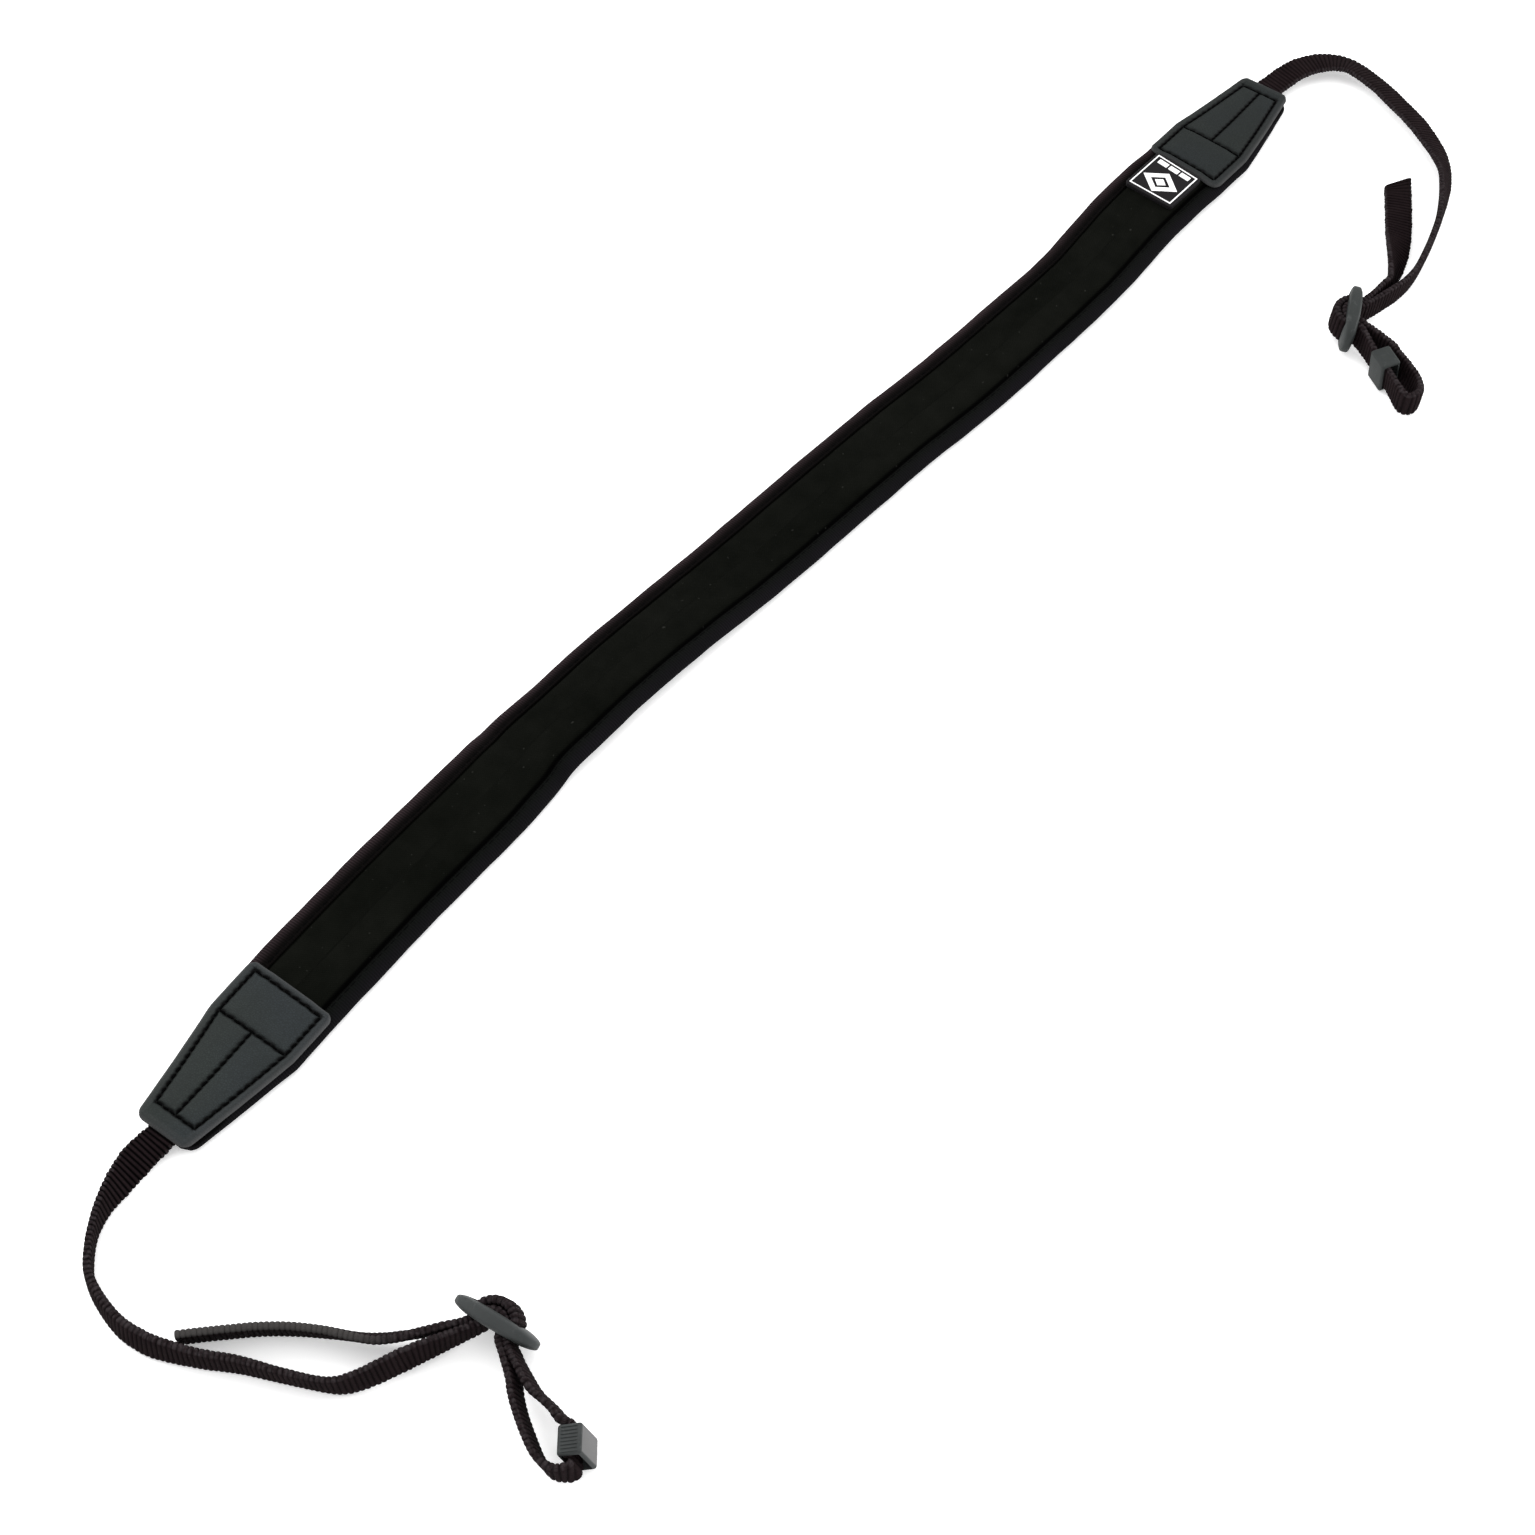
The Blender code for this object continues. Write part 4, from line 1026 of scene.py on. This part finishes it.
def oneRib(name, pitch):
    # a short swelling length of the flat strap, marked for its finish
    rib = unitTube(name, 28, (5,), 0.5)
    spots = points(rib)
    angle = np.arctan2(spots[:, 2], spots[:, 1])
    swell = np.sin(math.pi * np.clip(spots[:, 0], 0, 1)) ** 0.55
    flatY = np.sign(np.cos(angle)) * abs(np.cos(angle)) ** 0.36
    flatZ = np.sign(np.sin(angle)) * abs(np.sin(angle)) ** 0.52
    spots[:, 0] *= pitch
    spots[:, 1] = flatY * 0.5 * webbing["fullWidth"] * (0.935 + 0.065 * swell)
    spots[:, 2] = flatZ * 0.5 * webbing["fullThick"] * (0.76 + 0.24 * swell)
    putPoints(rib, spots)
    # crest: the rib's swell, which gets a painted highlight on top and painted shade in its trough;
    # selvedge: both edges, which carry a painted highlight
    mark(rib, "crest", swell)
    mark(rib, "selvedgeHighlight", np.clip((abs(flatY) - 0.87) / 0.06, 0, 1))
    return rib


def longer(course, more):
    # the course carried straight on past its free end
    path, widths = course["path"], course["widths"]
    onward = unit(np.diff(path[-2:], axis=0))[0] * more
    travelled = np.append(course["travelled"], course["length"] + more)
    return {"path": np.vstack([path, path[-1] + onward]), "widths": np.vstack([widths, widths[-1]]),
            "travelled": travelled}


def makeWebbing(end, node, slant):
    course = webbingCourse(end)
    length, near = course["length"], end == "near"
    count = int(round(length / webbing["rib"]))
    pitch = length / count
    strap = oneRib(end + "RibbedWebbing", pitch)
    repeat(strap, count, pitch, use_merge_vertices=True, merge_threshold=0.00001)
    closeEnds(strap, 0.0, length)
    outwards(strap)
    spots = points(strap)
    flatMap(strap, np.stack([spots[:, 0], spots[:, 1] + spots[:, 2]], 1))
    # free end cut aslant
    last = np.clip((spots[:, 0] - length + 0.008) / 0.008, 0, 1)
    spots[:, 0] -= last * slant * spots[:, 1] / webbing["width"]
    spots[:, 0] = np.minimum(spots[:, 0], length + 0.5 * abs(slant))
    # ribs of unequal width, fuller in the wraps and in the near run and tail
    rib = np.floor(spots[:, 0] / pitch)
    uneven = 1 + 0.016 * np.sin(2.39 * rib) + 0.012 * np.sin(5.13 * rib + 1.0)
    spots[:, 1] *= np.where(abs(spots[:, 1]) > 0.004, uneven, 1)
    along, left = spots[:, 0], length - spots[:, 0]
    wrap = wrapShare(course, along)
    tail = np.clip((0.082 - left) / 0.014, 0, 1) * near
    run = np.clip((along - 0.06) / 0.02, 0, 1) * np.clip((0.150 - along) / 0.02, 0, 1) * near
    spots[:, 2] *= 1 + webbing["wrapPuff"] * wrap + webbing["loft"] * np.maximum(tail, run) * (1 - wrap)
    # painted highlight on the near tail's selvedges, towards its free end
    mark(strap, "tailHighlight", 0.95 * np.clip((0.064 - left) / 0.014, 0, 1) * near)
    # painted shade in the troughs between ribs: faint everywhere, full near the near patch
    mark(strap, "troughShade", 0.25 + 0.75 * np.clip((0.085 - along) / 0.04, 0, 1) * near)
    putPoints(strap, spots)
    layOnRibbon(strap, longer(course, 0.004))
    spots = points(strap)
    spots[:, 2] = np.maximum(spots[:, 2], 0.00004)
    putPoints(strap, spots)
    smooth(strap, 70)
    finishPiece(strap, webbingFinish, "webbing", node)


makeWebbing("near", "near_webbing", 0.0)
makeWebbing("far", "far_webbing", 0.0066)
print("webbing laid")


# sliders and keepers

def standUp(piece, tip, place):
    centre = runPoint(tip, place) + np.array(bandCourse["origin"])
    putPoints(piece, points(piece) @ turned(place).T + centre)


def cutOut(piece, tool, operation="DIFFERENCE"):
    applyModifier(piece, "BOOLEAN", object=tool, operation=operation, solver="EXACT")
    bpy.data.objects.remove(tool)


def roundedBar(name, size, corner, segments=3):
    deselectAll()
    bpy.ops.mesh.primitive_cube_add(size=1)
    bar = added(name)
    bar.scale = size
    settle(bar)
    pick(bar)
    bpy.ops.object.mode_set(mode="EDIT")
    bpy.ops.mesh.select_all(action="SELECT")
    bpy.ops.mesh.bevel(offset=corner, segments=segments)
    bpy.ops.object.mode_set(mode="OBJECT")
    return bar


def makeSlider(name, tip, place, node, finish):
    plate = sliderPlate
    deselectAll()
    bpy.ops.mesh.primitive_uv_sphere_add(segments=96, ring_count=48, radius=1)
    body = added(name)
    body.rotation_euler = (math.pi / 2, 0, 0)
    settle(body)
    spots = points(body)
    x, y, z = spots.T
    flat = np.hypot(x, z)
    around = np.arctan2(z, x)
    squarish = (np.abs(np.cos(around)) ** 2.4 + np.abs(np.sin(around)) ** 2.4) ** (-1 / 2.4)
    thick = plate["end"] + (plate["middle"] - plate["end"]) * (1 - (np.cos(around) * squarish * flat) ** 2)
    spread = np.clip(flat, 0, 1) ** 0.45
    spots[:, 0] = 0.5 * plate["length"] * np.cos(around) * squarish * spread
    spots[:, 2] = 0.5 * plate["height"] * np.sin(around) * squarish * spread
    spots[:, 1] = 0.5 * thick * np.sign(y) * np.abs(y) ** 0.35
    putPoints(body, spots)
    outwards(body)
    window = 0.5 * plate["bar"] + 3 * plate["layerGap"] + 2 * webbing["thick"] + 0.0005
    cutOut(body, roundedBar("window", (2 * window, 4 * plate["middle"], webbing["width"] + 0.0012), 0.0007))
    barSize = (plate["bar"], plate["barThick"], plate["height"] - 2 * plate["barInset"])
    cutOut(body, roundedBar("bar", barSize, 0.0011, 4), "UNION")
    smooth(body, 38)
    standUp(body, tip, place)
    outwards(body)
    finishPiece(body, finish, "slider_plastic", node)


def makeKeeper(name, tip, place, node, finish, ridges):
    loop = keeperLoop
    depth = 2 * webbing["thick"] + loop["play"]
    width = webbing["width"] + 2 * loop["side"]
    outside = (loop["length"], depth + 2 * loop["wall"], width + 2 * loop["wall"])
    body = roundedBar(name, outside, loop["corner"], 4)
    cutOut(body, roundedBar("hollow", (3 * loop["length"], depth, width), 0.0005, 2))
    if ridges:
        # fine moulded lines across the narrow top, and one side painted lighter, a painted highlight where
        # the light falls
        ridge = roundedBar("ridge", (0.00050, depth * 0.92, 0.0006), 0.00016, 2)
        ridge.location = (-0.40 * loop["length"], 0, 0.5 * width + loop["wall"])
        settle(ridge)
        repeat(ridge, ridges, 0.8 * loop["length"] / (ridges - 1))
        mark(body, "paintedLight", points(body)[:, 1] > 0.5 * depth + loop["wall"] - 0.00005)
        pick(body)
        ridge.select_set(True)
        bpy.ops.object.join()
    smooth(body, 38)
    standUp(body, tip, place)
    finishPiece(body, finish, "slider_plastic", node)


makeSlider("nearSliderPlate", 0.0, hardware["nearSlider"], "near_slider", nearHardFinish)
makeSlider("farSliderPlate", bandCourse["span"], hardware["farSlider"], "far_slider", farHardFinish)
makeKeeper("nearKeeperLoop", 0.0, hardware["nearKeeper"], "near_keeper", nearHardFinish, 8)
makeKeeper("farKeeperLoop", bandCourse["span"], hardware["farKeeper"], "far_keeper", farHardFinish, 0)
print("sliders and keepers fitted")


# floor and light

studio = {
    "floor": 6.0, "floorShade": (0.95, 0.95, 0.95), "floorGlow": 0.3,
    "sky": (1.0, 1.0, 1.0), "skyStrength": 1.0,
    "lights": [  # name, place, disk size, power
        ("overhead", (0.10, 0.30, 1.6), 2.2, 15), ("behindLeft", (-0.35, 1.45, 0.95), 1.0, 15),
        ("rightFill", (1.2, -1.15, 0.42), 0.8, 20),
    ],
}


def makeFloor():
    deselectAll()
    bpy.ops.mesh.primitive_plane_add(size=studio["floor"])
    floor = added("studioFloor")
    finish = Finish("paleFloor", Roughness=0.9, Specular_IOR_Level=0.1, Emission_Color=(1.0, 1.0, 1.0),
                    Emission_Strength=studio["floorGlow"])
    floor.data.materials.append(finish.feed(Base_Color=studio["floorShade"]))


def addLight(name, spot, size, power):
    bpy.ops.object.light_add(type="AREA", location=spot)
    light = bpy.context.object
    light.name = name
    light.data.shape = "DISK"
    light.data.size = size
    light.data.energy = power
    light.rotation_euler = (-Vector(spot)).to_track_quat("-Z", "Y").to_euler()


def addSky():
    world = bpy.data.worlds.new("studioSky")
    world.use_nodes = True
    world.node_tree.nodes["Background"].inputs[0].default_value = (*studio["sky"], 1)
    world.node_tree.nodes["Background"].inputs[1].default_value = studio["skyStrength"]
    bpy.context.scene.world = world
    bpy.context.scene.view_settings.view_transform = "Standard"


makeFloor()
addSky()
for row in studio["lights"]:
    addLight(*row)
print("studio lit")
